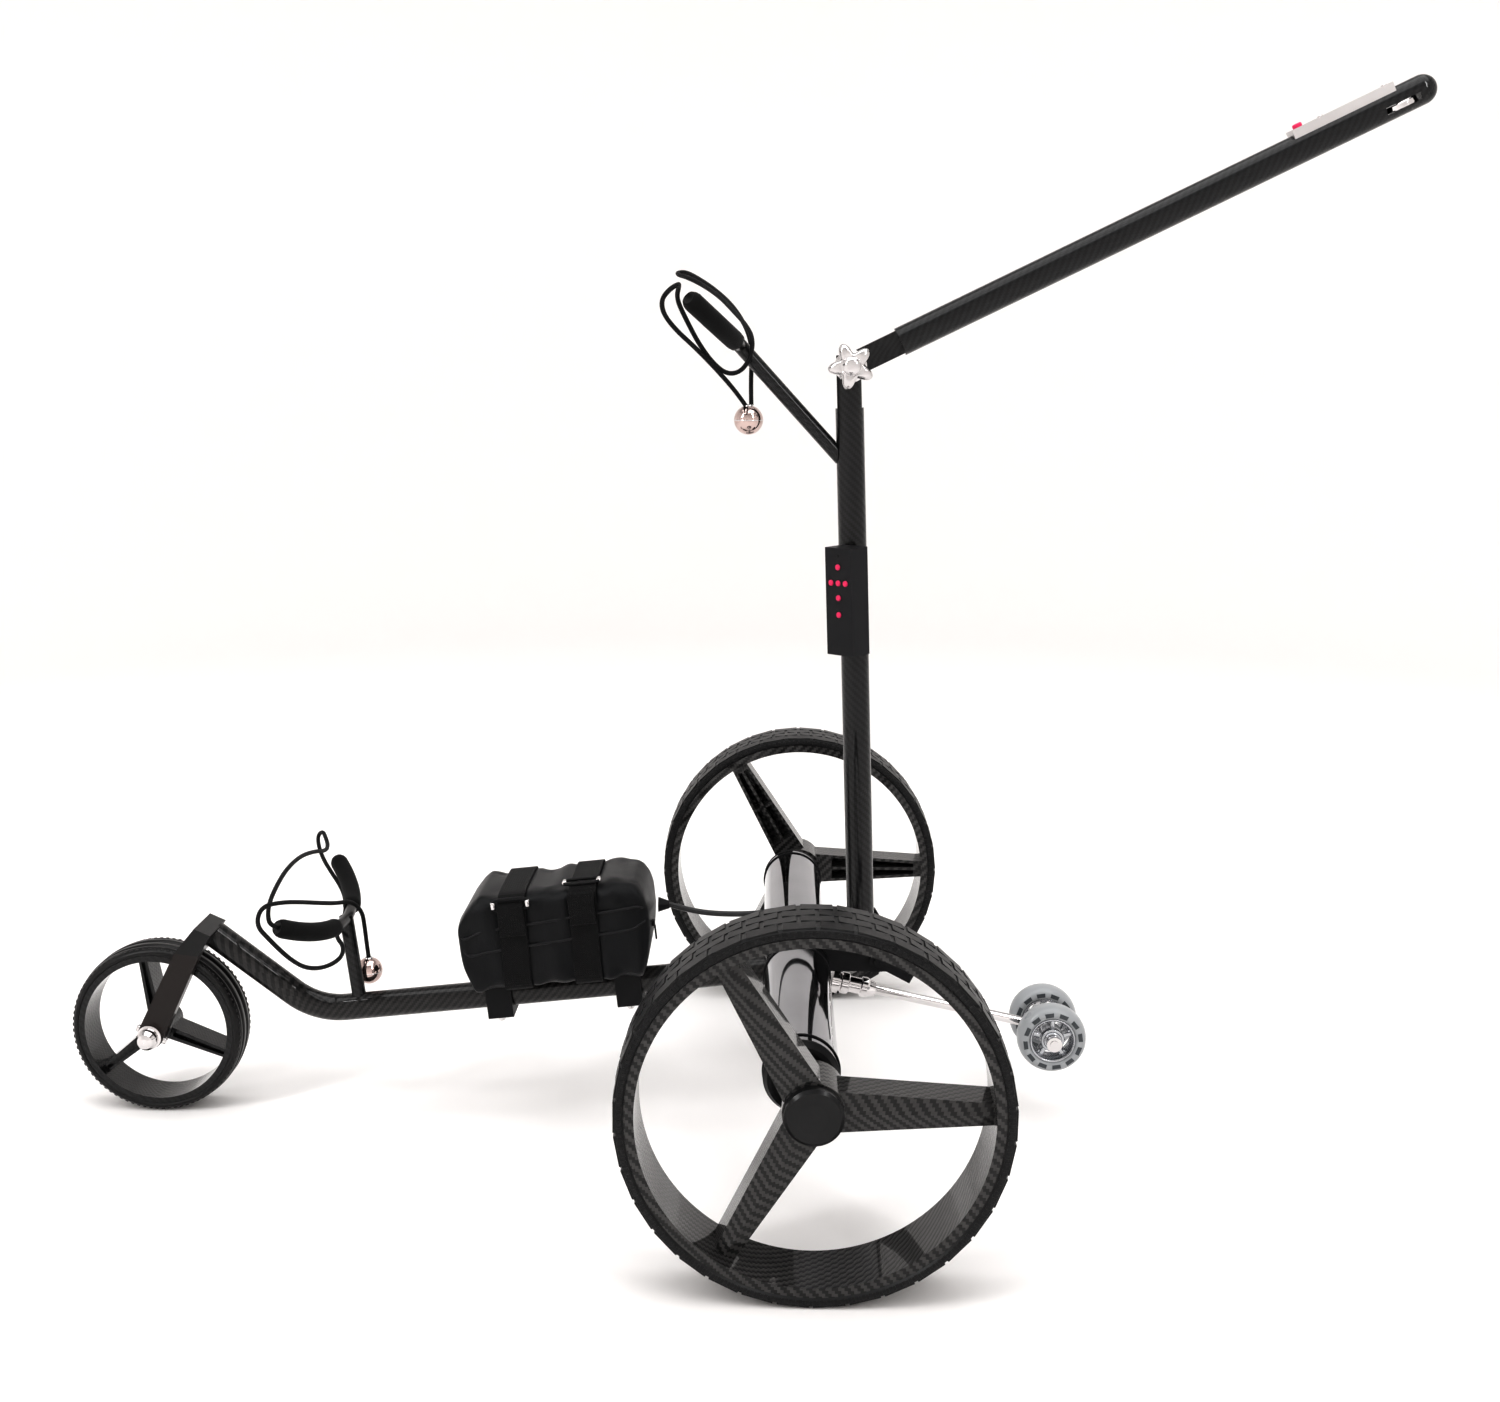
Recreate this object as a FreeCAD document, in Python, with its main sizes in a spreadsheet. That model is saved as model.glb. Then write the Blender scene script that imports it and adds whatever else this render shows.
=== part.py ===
import FreeCAD, Part
import math
import os
import re
import Sketcher
from FreeCAD import Placement, Rotation, Vector

# An electric three-wheel golf trolley in carbon tube. Millimetres, +Z up, the front wheel towards -X,
# the left side of the trolley towards -Y. The origin is on the floor under the middle of the trolley.
# Places called "back" are measured along +X from the rear axle line.

DOC = FreeCAD.newDocument("golf_trolley")
SHEET = DOC.addObject("Spreadsheet::Sheet", "sizes")

SIZES = {
    "rear_axle_x": 84.5,
    "axle_height": 150,
    "fit_gap": 0.3,
    # tubes
    "tube_radius": 12.5,
    "tube_wall": 1.6,
    "slim_radius": 6.5,
    "arm_radius": 5,
    "pad_radius": 8.5,
    # chassis tube
    "chassis_slope": 6.1,
    "chassis_rise": 38.2,
    "chassis_height": 145.9,
    "chassis_start": 36,
    "chassis_flat": 464.4,
    "chassis_neck": 122,
    "chassis_bend": 70,
    # front fork and wheel
    "front_axle_back": -611.8,
    "front_axle_height": 81.4,
    "crown_top_back": -564,
    "crown_top_height": 187,
    "crown_rear_back": -549.2,
    "crown_rear_height": 180.2,
    "crown_low_back": -561,
    "crown_low_height": 160.2,
    "crown_front_back": -584,
    "crown_front_height": 163,
    "fork_near": -34,
    "fork_thick": 12,
    "fork_half_width": 12,
    "front_radius": 81.4,
    "front_tyre_width": 40,
    "front_rim_inner": 67.8,
    "front_rim_outer": 71.5,
    "front_rim_width": 37,
    "front_hub_radius": 14,
    "front_bolt_radius": 5,
    "front_spoke_turn": -21.5,
    # drive wheels
    "drive_track_half": 317,
    "drive_radius": 150,
    "drive_tyre_width": 60,
    "drive_rim_inner": 133.5,
    "drive_rim_outer": 138.3,
    "drive_flange": 141,
    "drive_rim_width": 56,
    "hub_radius": 24,
    "hub_half": 16,
    "hub_cap_radius": 22.5,
    "hub_cap_height": 10,
    "shaft_radius": 6,
    "spoke_root_width": 32,
    "spoke_tip_width": 17,
    "spoke_half_depth": 15,
    "spoke_ridge": 3,
    "spoke_wall": 3,
    # motors
    "motor_back": -8,
    "housing_radius": 30,
    "housing_wall": 2.5,
    "housing_half": 262,
    "end_cap_width": 10,
    "motor_radius": 26,
    "motor_length": 110,
    "gearbox_length": 62,
    # mast
    "mast_lean": 1.97,
    "mast_foot_height": 150,
    "mast_foot_back": 52.9,
    "mast_length": 556,
    "fold_back": 51.6,
    "fold_height": 188,
    "fold_pin_radius": 4,
    "ear_thick": 6,
    "latch_back": 68,
    "latch_height": 158,
    "strut_root_height": 607,
    "strut_root_back": 36.6,
    "strut_end_back": -61,
    "strut_end_height": 714,
    # handle
    "pivot_back": 35.2,
    "pivot_height": 696,
    "handle_rise": 25.5,
    "handle_length": 540.43,
    "tongue_thick": 13,
    "tongue_length": 48,
    "knob_radius": 20,
    "knob_thick": 14,
    "plate_start": 416,
    "plate_length": 90,
    "plate_width": 17,
    "plate_height": 8,
    "wheel_slot_at": 507,
    "speed_wheel_radius": 14,
    "speed_wheel_thick": 5,
    # saddles
    "lower_root_back": -430.3,
    "lower_root_height": 187,
    "lower_tip_back": -464.4,
    "lower_tip_height": 213.5,
    "upper_tip_back": -101,
    "upper_tip_height": 750.6,
    "saddle_half_span": 105,
    "pad_length": 88,
    "post_foot_back": -420,
    # cords
    "bungee_radius": 2,
    "ball_radius": 12.9,
    "cable_radius": 2.6,
    # battery
    "bag_back": -222,
    "bag_lift": 16.7,
    "bag_length": 176,
    "bag_width": 98,
    "bag_height": 92,
    "bag_wall": 4,
    "strap_width": 25,
    "strap_thick": 1.6,
    "strap_front_at": -36,
    "strap_rear_at": 29,
    "clamp_front_at": -64,
    "clamp_rear_at": 58,
    "clamp_length": 24,
    # anti-tip
    "anti_slope": 12.216,
    "socket_back": 15,
    "socket_height": 133.4,
    "rod_radius": 4.5,
    "anti_axle_back": 227,
    "anti_axle_height": 87.5,
    "anti_track_half": 25,
    "anti_radius": 31.5,
    "anti_width": 24,
    "anti_axle_radius": 4,
    # remote
    "remote_width": 30,
    "remote_depth": 22,
    "remote_height": 95,
    "remote_low": 446,
    "remote_turn": 45,
    "remote_side": -29,
    "remote_ahead": -7,
    "button_radius": 2.6,
}


def fill_sheet():
    for row, (alias, number) in enumerate(SIZES.items(), start=1):
        SHEET.set(f"A{row}", alias.replace("_", " "))
        SHEET.set(f"B{row}", str(number))
        SHEET.setAlias(f"B{row}", alias)
    DOC.recompute()


fill_sheet()


def size(alias):
    return float(SHEET.get(alias))


def formula(text):
    """Put the sheet's name before each alias in an expression."""
    return re.sub(r"[a-z_]+", lambda word: f"sizes.{word[0]}" if word[0] in SIZES else word[0], str(text))


def bind(thing, **formulas):
    for name, text in formulas.items():
        thing.setExpression(name, formula(text))
    return thing


def put(thing, back="0", side="0", height="0", rotation=Rotation()):
    """Place a sub-part: back from the rear axle, side along Y, height above the floor."""
    thing.Placement = Placement(Vector(), rotation)
    thing.setExpression(".Placement.Base.x", formula(f"rear_axle_x + ({back})"))
    thing.setExpression(".Placement.Base.y", formula(side))
    thing.setExpression(".Placement.Base.z", formula(height))
    return thing


def about(axis, degrees):
    return Rotation(axis, degrees)


X_AXIS = Vector(1, 0, 0)
Y_AXIS = Vector(0, 1, 0)
Z_AXIS = Vector(0, 0, 1)
TO_LEFT = Rotation(X_AXIS, 90)
TO_RIGHT = Rotation(X_AXIS, -90)
TO_BACK = Rotation(Y_AXIS, 90)



def new_body(label):
    made = DOC.addObject("PartDesign::Body", label)
    made.Label = label
    return made


def sketch_on(body, role, offset="0"):
    sketch = body.newObject("Sketcher::SketchObject", f"{body.Label}_sketch")
    plane = [each for each in body.Origin.OriginFeatures if each.Role == role][0]
    sketch.AttachmentSupport = [(plane, "")]
    sketch.MapMode = "FlatFace"
    sketch.setExpression(".AttachmentOffset.Base.z", formula(offset))
    return sketch


def draw_outline(sketch, corners):
    """A closed outline of straight lines, each corner held to the sketch's origin by two sizes."""
    count = len(corners)
    seeds = [(10 * math.cos(2 * math.pi * k / count), 10 * math.sin(2 * math.pi * k / count)) for k in range(count)]
    first = sketch.GeometryCount
    for k in range(count):
        start, end = seeds[k], seeds[(k + 1) % count]
        sketch.addGeometry(Part.LineSegment(Vector(*start, 0), Vector(*end, 0)))
    for k in range(count):
        sketch.addConstraint(Sketcher.Constraint("Coincident", first + k, 2, first + (k + 1) % count, 1))
    for k, (across, up) in enumerate(corners):
        for kind, text, seed in (("DistanceX", across, seeds[k][0]), ("DistanceY", up, seeds[k][1])):
            number = sketch.addConstraint(Sketcher.Constraint(kind, -1, 1, first + k, 1, seed))
            sketch.setExpression(f"Constraints[{number}]", formula(text))


def draw_circle(sketch, radius, across="0", up="0"):
    number = sketch.addGeometry(Part.Circle(Vector(1, 1, 0), Z_AXIS, 5))
    for kind, text in (("DistanceX", across), ("DistanceY", up)):
        held = sketch.addConstraint(Sketcher.Constraint(kind, -1, 1, number, 3, 1.0))
        sketch.setExpression(f"Constraints[{held}]", formula(text))
    held = sketch.addConstraint(Sketcher.Constraint("Radius", number, 5.0))
    sketch.setExpression(f"Constraints[{held}]", formula(radius))


def add_pad(body, sketch, length, midplane=False, backwards=False):
    pad = body.newObject("PartDesign::Pad", f"{body.Label}_pad")
    pad.Profile = sketch
    pad.Midplane = midplane
    pad.Reversed = backwards
    return bind(pad, Length=length)


def add_pocket(body, sketch, length, midplane=False, backwards=False):
    pocket = body.newObject("PartDesign::Pocket", f"{body.Label}_pocket")
    pocket.Profile = sketch
    pocket.Midplane = midplane
    pocket.Reversed = backwards
    return bind(pocket, Length=length)


def add_turn(body, corners):
    """A revolution about the body's own Z axis; corners are radius and height."""
    sketch = sketch_on(body, "XZ_Plane")
    draw_outline(sketch, corners)
    turn = body.newObject("PartDesign::Revolution", f"{body.Label}_turn")
    turn.Profile = sketch
    turn.ReferenceAxis = (sketch, ["V_Axis"])
    return turn


def turned(label, corners):
    body = new_body(label)
    add_turn(body, corners)
    return body


def slab(label, corners, thickness, role="XZ_Plane", offset="0", midplane=False):
    body = new_body(label)
    sketch = sketch_on(body, role, offset)
    draw_outline(sketch, corners)
    add_pad(body, sketch, thickness, midplane)
    return body


def repeat_round(body, features, count):
    pattern = body.newObject("PartDesign::PolarPattern", f"{body.Label}_pattern")
    pattern.Originals = features
    axis = [each for each in body.Origin.OriginFeatures if each.Role == "Z_Axis"][0]
    pattern.Axis = (axis, [""])
    pattern.Angle = 360
    pattern.Occurrences = count
    body.Tip = pattern
    return pattern


def cylinder(label, radius, height):
    return bind(DOC.addObject("Part::Cylinder", label), Radius=radius, Height=height)


def block(label, length, width, height):
    return bind(DOC.addObject("Part::Box", label), Length=length, Width=width, Height=height)


def cut(label, base, tool):
    made = DOC.addObject("Part::Cut", label)
    made.Base = base
    made.Tool = tool
    return made


def fuse(label, pieces):
    made = DOC.addObject("Part::MultiFuse", label)
    made.Shapes = pieces
    return made


def group(label, pieces):
    made = DOC.addObject("Part::Compound", label)
    made.Links = pieces
    return made


def from_shape(label, shape):
    made = DOC.addObject("Part::Feature", label)
    made.Shape = shape
    return made


def spot(back, side, height):
    """A point in the trolley's frame from its distance behind the rear axle."""
    return Vector(size("rear_axle_x") + back, side, height)


def swept_round(path, radius):
    """A round bar along a path of joined edges."""
    start = path.Edges[0]
    begin = start.valueAt(start.FirstParameter)
    tangent = start.tangentAt(start.FirstParameter)
    ring = Part.Wire([Part.Circle(begin, tangent, radius).toShape()])
    return path.makePipeShell([ring], True, True)


def cord_path(points):
    """Straight runs joined by tangent arcs, each as large as its two runs allow."""
    edges = []
    radii = []
    last = points[0]
    for before, corner, after in zip(points, points[1:], points[2:]):
        into = (corner - before).normalize()
        away = (after - corner).normalize()
        half_turn = into.getAngle(away) / 2
        reach = 0.45 * min((corner - before).Length, (after - corner).Length)
        radius = reach / math.tan(half_turn)
        radii.append(radius)
        start = corner - into * reach
        end = corner + away * reach
        inward = (away - into).normalize()
        middle = corner + inward * (radius / math.cos(half_turn) - radius)
        edges.append(Part.LineSegment(last, start).toShape())
        edges.append(Part.Arc(start, middle, end).toShape())
        last = end
    edges.append(Part.LineSegment(last, points[-1]).toShape())
    return Part.Wire(edges), radii


def cord(label, points, radius):
    path, radii = cord_path(points)
    solid = swept_round(path, radius)
    share = solid.Volume / (math.pi * radius**2 * path.Length)
    print(f"{label}: length {path.Length:.1f}, volume share {share:.3f}, tightest {min(radii):.1f}, "
          f"radii {[round(each, 1) for each in radii]}, lowest {solid.BoundBox.ZMin:.1f}")
    return from_shape(label, solid)



SPOKE_START = 18
SPOKE_LOW = "-spoke_half_depth - 4"
SPOKE_HIGH = "spoke_half_depth - 4"


def rim_outline(inner, outer, flange, width, lip):
    return [(inner, f"-{width} / 2"), (flange, f"-{width} / 2"), (flange, f"-{width} / 2 + {lip}"),
            (outer, f"-{width} / 2 + {lip}"), (outer, f"{width} / 2 - {lip}"),
            (flange, f"{width} / 2 - {lip}"), (flange, f"{width} / 2"), (inner, f"{width} / 2")]


def spoke_section(body, offset, width, low, high, ridge):
    sketch = sketch_on(body, "YZ_Plane", offset)
    half = f"{width} / 2"
    draw_outline(sketch, [(f"-{half}", low), (half, low), (half, high), ("0", f"{high} + {ridge}"), (f"-{half}", high)])
    return sketch


def add_spoke(body, first, last):
    loft = body.newObject("PartDesign::AdditiveLoft", f"{body.Label}_spoke")
    loft.Profile = first
    loft.Sections = [last]
    return loft


def cell_edge(at):
    """Half width of a spoke's recess at a distance from the hub's centre."""
    taper = f"({at} - {SPOKE_START}) / (drive_rim_inner - {SPOKE_START})"
    return f"spoke_root_width / 2 - {taper} * (spoke_root_width - spoke_tip_width) / 2 - spoke_wall"


def drive_spoke(label, turn):
    """One spoke with a ridged outer face, hollowed from the inner side on both sides of a rib."""
    body = new_body(label)
    root = spoke_section(body, SPOKE_START, "spoke_root_width", SPOKE_LOW, SPOKE_HIGH, "spoke_ridge")
    tip = spoke_section(body, "drive_rim_inner + 2", "spoke_tip_width", SPOKE_LOW, SPOKE_HIGH, "spoke_ridge")
    add_spoke(body, root, tip)
    cells = sketch_on(body, "XY_Plane", f"{SPOKE_LOW} - 1")
    for start, end in ((36, 78), (81, 126)):
        for hand in ("1", "-1"):
            draw_outline(cells, [(start, f"{hand} * 1.5"), (end, f"{hand} * 1.5"),
                                 (end, f"{hand} * ({cell_edge(end)})"), (start, f"{hand} * ({cell_edge(start)})")])
    add_pocket(body, cells, "2 * spoke_half_depth - 4", backwards=True)
    body.Placement = Placement(Vector(), about(Z_AXIS, turn))
    return body


def drive_wheel(label, side, rotation):
    """Hub, three spokes and the rim that ties them."""
    crest = f"{SPOKE_HIGH} + spoke_ridge"
    hub = turned("drive_hub", [("shaft_radius + 0.05", "-hub_half - 14"), ("hub_radius", "-hub_half - 14"),
                               ("hub_radius", crest), ("shaft_radius + 0.05", crest)])
    rim = turned("drive_rim", rim_outline("drive_rim_inner", "drive_rim_outer", "drive_flange", "drive_rim_width", "3"))
    spokes = [drive_spoke(f"drive_spoke_{turn}", turn) for turn in (0, 120, 240)]
    bore = cylinder("drive_bore", "shaft_radius + 0.05", "80")
    bore.Placement = Placement(Vector(0, 0, -40), Rotation())
    wheel = cut(label, fuse("drive_wheel_solid", [hub, rim, *spokes]), bore)
    return put(wheel, "0", side, "axle_height", rotation)


def tyre_outline(inner, seat, flange, radius, width, lip):
    half = f"{width} / 2"
    return [(inner, f"-{seat}"), (inner, seat), (flange, seat), (flange, f"{half} - 2"), (f"{radius} - 4", half),
            (f"{radius} - 1", f"{half} - {lip}"), (radius, f"{half} - 2.4 * {lip}"),
            (radius, f"-{half} + 2.4 * {lip}"), (f"{radius} - 1", f"-{half} + {lip}"), (f"{radius} - 4", f"-{half}"),
            (flange, f"-{half} + 2"), (flange, f"-{seat}")]


def drive_tyre(label, side, rotation):
    corners = tyre_outline("drive_rim_outer", "(drive_rim_width / 2 - 3.1)", "drive_flange + 0.1",
                           "drive_radius", "drive_tyre_width", "5")
    return put(turned(label, corners), "0", side, "axle_height", rotation)


def wheel_hub(label, side, rotation):
    """Cap and the shaft that runs into the gearbox, in one piece."""
    face = f"{SPOKE_HIGH} + spoke_ridge + 0.1"
    corners = [("0", "-115"), ("shaft_radius", "-115"), ("shaft_radius", face), ("hub_cap_radius", face),
               ("hub_cap_radius", f"{face} + hub_cap_height - 3"), ("hub_cap_radius - 2.5", f"{face} + hub_cap_height - 0.8"),
               ("hub_cap_radius / 2", f"{face} + hub_cap_height"), ("0", f"{face} + hub_cap_height")]
    return put(turned(label, corners), "0", side, "axle_height", rotation)



def crown_slab(label, width, offset):
    corners = [(f"crown_{name}_back", f"crown_{name}_height") for name in ("top", "rear", "low", "front")]
    return put(slab(label, corners, width, "XZ_Plane", offset))


def fork_crown():
    return crown_slab("fork_crown", "-fork_near + tube_radius", "-tube_radius")


def fork_leg():
    """Flat leg on the left of the wheel, rounded about the axle."""
    body = new_body("fork_leg")
    blade = sketch_on(body, "XZ_Plane", "-fork_near - fork_thick")
    lean = math.degrees(math.atan2(size("crown_low_back") - 12 - size("front_axle_back"),
                                   size("crown_low_height") - size("front_axle_height")))
    across = f"fork_half_width * cos({lean:.2f} deg)"
    drop = f"fork_half_width * sin({lean:.2f} deg)"
    draw_outline(blade, [("crown_front_back", "crown_front_height"), ("crown_low_back", "crown_low_height"),
                         (f"front_axle_back + {across}", f"front_axle_height - {drop}"),
                         (f"front_axle_back - {across}", f"front_axle_height + {drop}")])
    add_pad(body, blade, "fork_thick")
    foot = sketch_on(body, "XZ_Plane", "-fork_near - fork_thick")
    draw_circle(foot, "fork_half_width", "front_axle_back", "front_axle_height")
    add_pad(body, foot, "fork_thick")
    bore = sketch_on(body, "XZ_Plane", "-fork_near - fork_thick")
    draw_circle(bore, "front_bolt_radius", "front_axle_back", "front_axle_height")
    add_pocket(body, bore, "4 * fork_thick", midplane=True)
    return put(body)


def at_front_axle(thing):
    return put(thing, "front_axle_back", "0", "front_axle_height", TO_LEFT)


def front_axle():
    return at_front_axle(turned("front_axle", [
        ("0", "-24"), ("8", "-24"), ("9", "-23"), ("9", "-18.3"), ("front_bolt_radius", "-18.3"),
        ("front_bolt_radius", "-fork_near + 9"), ("front_bolt_radius - 1", "-fork_near + 10"), ("0", "-fork_near + 10")]))


def front_axle_nut():
    foot = "-fork_near + 0.1"
    return at_front_axle(turned("front_axle_nut", [
        ("front_bolt_radius + 0.05", foot), ("11.5", foot), ("11.5", f"{foot} + 2.5"), ("9.5", f"{foot} + 3.5"),
        ("9.5", f"{foot} + 10"), ("7", f"{foot} + 13.5"), ("3.5", f"{foot} + 15.3"), ("0", f"{foot} + 15.8"),
        ("0", f"{foot} + 10.4"), ("front_bolt_radius + 0.05", f"{foot} + 10.4")]))


def front_wheel():
    body = new_body("front_wheel")
    add_turn(body, [("front_bolt_radius + 0.05", "-18"), ("front_hub_radius", "-18"), ("front_hub_radius", "18"),
                    ("9", "21.7"), ("front_bolt_radius + 0.05", "21.7")])
    root = spoke_section(body, "11", "12", "-13", "13", "0.5")
    tip = spoke_section(body, "front_rim_inner + 1", "8", "-13", "13", "0.5")
    spoke = add_spoke(body, root, tip)
    groove = sketch_on(body, "XY_Plane", "8")
    draw_outline(groove, [("16", "-2.4"), ("front_rim_inner - 1", "-1.6"), ("front_rim_inner - 1", "1.6"), ("16", "2.4")])
    channel = add_pocket(body, groove, "20", backwards=True)
    repeat_round(body, [spoke, channel], 3)
    add_turn(body, rim_outline("front_rim_inner", "front_rim_outer", "front_rim_outer + 2", "front_rim_width", "2.5"))
    turn = about(Z_AXIS, size("front_spoke_turn"))
    return put(body, "front_axle_back", "0", "front_axle_height", TO_LEFT.multiply(turn))


def front_tyre():
    half = "front_tyre_width / 2"
    seat = "front_rim_width / 2 - 2.6"
    flange = "front_rim_outer + 2.1"
    upper = [("front_rim_outer", seat), (flange, seat), (flange, f"{half} - 1"), ("front_radius - 5.6", half),
             ("front_radius - 2.6", f"{half} - 3"), ("front_radius - 0.8", f"{half} - 7.5"), ("front_radius", "8")]
    lower = [(radius, f"-({height})") for radius, height in reversed(upper)]
    return at_front_axle(turned("front_tyre", upper + lower))



def housing_tool(extra):
    tool = put(cylinder("housing_space", f"housing_radius + {extra}", "400"), "motor_back", "200", "axle_height", TO_LEFT)
    return tool


def chassis_tube():
    body = new_body("chassis_tube_whole")
    path = body.newObject("Sketcher::SketchObject", "chassis_path")
    path.AttachmentSupport = [([each for each in body.Origin.OriginFeatures if each.Role == "XZ_Plane"][0], "")]
    path.MapMode = "FlatFace"
    turn = math.radians(size("chassis_slope") + size("chassis_rise"))
    reach = size("chassis_bend") * math.tan(turn / 2)
    corner = Vector(-size("chassis_flat"), 0, 0)
    rise = Vector(-math.cos(turn), math.sin(turn), 0)
    start = Vector(-size("chassis_start"), 0, 0)
    bend_in = corner + Vector(reach, 0, 0)
    bend_out = corner + rise * reach
    centre = bend_in + Vector(0, size("chassis_bend"), 0)
    middle = centre + (corner - centre).normalize() * size("chassis_bend")
    path.addGeometry(Part.LineSegment(start, bend_in))
    path.addGeometry(Part.Arc(bend_in, middle, bend_out))
    path.addGeometry(Part.LineSegment(bend_out, corner + rise * size("chassis_neck")))
    section = sketch_on(body, "YZ_Plane", "-chassis_start")
    draw_circle(section, "tube_radius")
    draw_circle(section, "tube_radius - tube_wall")
    pipe = body.newObject("PartDesign::AdditivePipe", "chassis_pipe")
    pipe.Profile = section
    pipe.Spine = (path, ["Edge1", "Edge2", "Edge3"])
    put(body, "0", "0", "chassis_height", about(Y_AXIS, -size("chassis_slope")))
    crown = crown_slab("crown_space", "4 * tube_radius", "-2 * tube_radius")
    return cut("chassis_tube", body, fuse("chassis_cutters", [housing_tool("0.05"), crown]))


def motor_housing():
    wall = [("housing_radius - housing_wall", "-housing_half"), ("housing_radius", "-housing_half"),
            ("housing_radius", "housing_half"), ("housing_radius - housing_wall", "housing_half")]
    return put(turned("motor_housing", wall), "motor_back", "0", "axle_height", TO_LEFT)


def motor_end_cap(side, rotation):
    plug = "housing_radius - housing_wall - 0.1"
    shell = turned("end_cap_solid", [
        ("0", "-8"), (plug, "-8"), (plug, "0.05"), ("housing_radius - 0.6", "0.05"), ("housing_radius + 0.5", "1.5"),
        ("housing_radius + 0.5", "3"), ("housing_radius - 0.5", "4.5"), ("housing_radius - 3", "end_cap_width - 1"),
        ("housing_radius - 6", "end_cap_width"), ("0", "end_cap_width")])
    put(shell, "motor_back", side, "axle_height", rotation)
    bore = put(cylinder("end_cap_bore", "shaft_radius + 0.6", "60"), "0", f"{side} * 0.9", "axle_height", rotation)
    return cut("end_cap", shell, bore)


def gear_motor(label, side, rotation):
    """Motor and gearbox; the output turns on the wheel's axis, behind the middle of the tube."""
    can = turned("motor_can", [
        ("0", "20"), ("motor_radius - 4", "20"), ("motor_radius", "24"), ("motor_radius", "20 + motor_length"),
        ("motor_radius + 1", "20 + motor_length"), ("motor_radius + 1", "20 + motor_length + gearbox_length"),
        ("0", "20 + motor_length + gearbox_length")])
    put(can, "motor_back", "0", "axle_height", rotation)
    boss = put(cylinder("motor_boss", "11", "30"), "0", f"{side} * (19 + motor_length + gearbox_length)",
               "axle_height", rotation)
    bore = put(cylinder("motor_bore", "shaft_radius + 0.06", "60"), "0",
               f"{side} * (8 + motor_length + gearbox_length)", "axle_height", rotation)
    return cut(label, fuse(f"{label}_solid", [can, boss]), bore)


def mast_bracket():
    """Two ears and a web behind the motor housing."""
    outline = [("14", "147"), ("84", "147"), ("84", "165"), ("66", "196"), ("38", "196"), ("14", "178")]
    ears = slab("bracket_ears", outline, "2 * (tube_radius + 0.8 + ear_thick)", midplane=True)
    put(ears)
    gap = put(block("bracket_gap", "80", "2 * (tube_radius + 0.8)", "80"), "35", "-tube_radius - 0.8", "140")
    # the web stops below the tube as it folds forward
    swing = put(block("bracket_swing", "80", "2 * (tube_radius + 0.8)", "40"), "5", "-tube_radius - 0.8", "175")
    pin = put(cylinder("bracket_bore", "fold_pin_radius", "60"), "fold_back", "30", "fold_height", TO_LEFT)
    hollow = fuse("bracket_hollow", [gap, swing, pin, housing_tool("0.1")])
    return fuse("mast_bracket", [cut("bracket_plates", ears, hollow), latch_pivot()])


def latch_pivot():
    side = -size("tube_radius") - 0.8 - size("ear_thick") + 0.5
    pivot = turned("latch_pivot", [("0", "0"), ("3", "0"), ("3", "6.2"), ("5", "6.2"), ("5", "8"), ("0", "8.6")])
    pivot.Placement = Placement(spot(size("latch_back"), side, size("latch_height")), TO_LEFT)
    return pivot


def mast_hinge_pin():
    reach = "(tube_radius + 0.8 + ear_thick)"
    return put(turned("mast_hinge_pin", [
        ("0", f"-{reach} - 4"), ("6", f"-{reach} - 4"), ("7", f"-{reach} - 3"), ("7", f"-{reach} - 0.05"),
        ("fold_pin_radius", f"-{reach} - 0.05"), ("fold_pin_radius", f"{reach} + 0.05"), ("7", f"{reach} + 0.05"),
        ("7", f"{reach} + 3"), ("6", f"{reach} + 4"), ("0", f"{reach} + 4")]),
        "fold_back", "0", "fold_height", TO_LEFT)


def anti_tip_rotation():
    return about(Y_AXIS, 90 + size("anti_slope"))


def anti_tip_socket():
    """Square foot and stepped collar, with the bore that the stabiliser's rod slides in."""
    bore = "rod_radius + 0.05"
    collar = turned("socket_collar", [
        (bore, "5"), ("11", "5"), ("11", "17"), ("8.5", "17"), ("8.5", "19"), ("10", "20"), ("10", "26"), ("8.5", "27"),
        ("7.5", "27"), ("7.5", "38"), ("9.5", "39"), ("9.5", "44"), ("8", "46"), ("6.5", "52"), (bore, "52")])
    foot = slab("socket_foot", [("-13.5", "-13.5"), ("13.5", "-13.5"), ("13.5", "13.5"), ("-13.5", "13.5")],
                "10", "XY_Plane")
    for piece in (collar, foot):
        put(piece, "socket_back", "0", "socket_height", anti_tip_rotation())
    return cut("anti_tip_socket", fuse("socket_solid", [collar, foot]), housing_tool("0.1"))



def saddle_arc(root, tip_back, tip_height):
    span = size("saddle_half_span")
    return Part.Arc(spot(tip_back, -span, tip_height), root, spot(tip_back, span, tip_height)).toShape()


def lower_arc():
    root = spot(size("lower_root_back"), 0, size("lower_root_height"))
    return saddle_arc(root, size("lower_tip_back"), size("lower_tip_height"))


def upper_arc():
    root = spot(size("strut_end_back"), 0, size("strut_end_height"))
    return saddle_arc(root, size("upper_tip_back"), size("upper_tip_height"))


def saddle(label, arc):
    return from_shape(label, swept_round(Part.Wire([arc]), size("arm_radius")))


def saddle_pads(label, arc):
    """Two sleeves, one on the outer stretch of each arm."""
    first, last = arc.ParameterRange
    turn = size("pad_length") / arc.Curve.Radius
    sleeves = []
    for start, end in ((first, first + turn), (last - turn, last)):
        outer = swept_round(Part.Wire([arc.Curve.toShape(start, end)]), size("pad_radius"))
        inner = swept_round(Part.Wire([arc]), size("arm_radius"))
        sleeves.append(outer.cut(inner))
    return from_shape(label, Part.makeCompound(sleeves))


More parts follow.
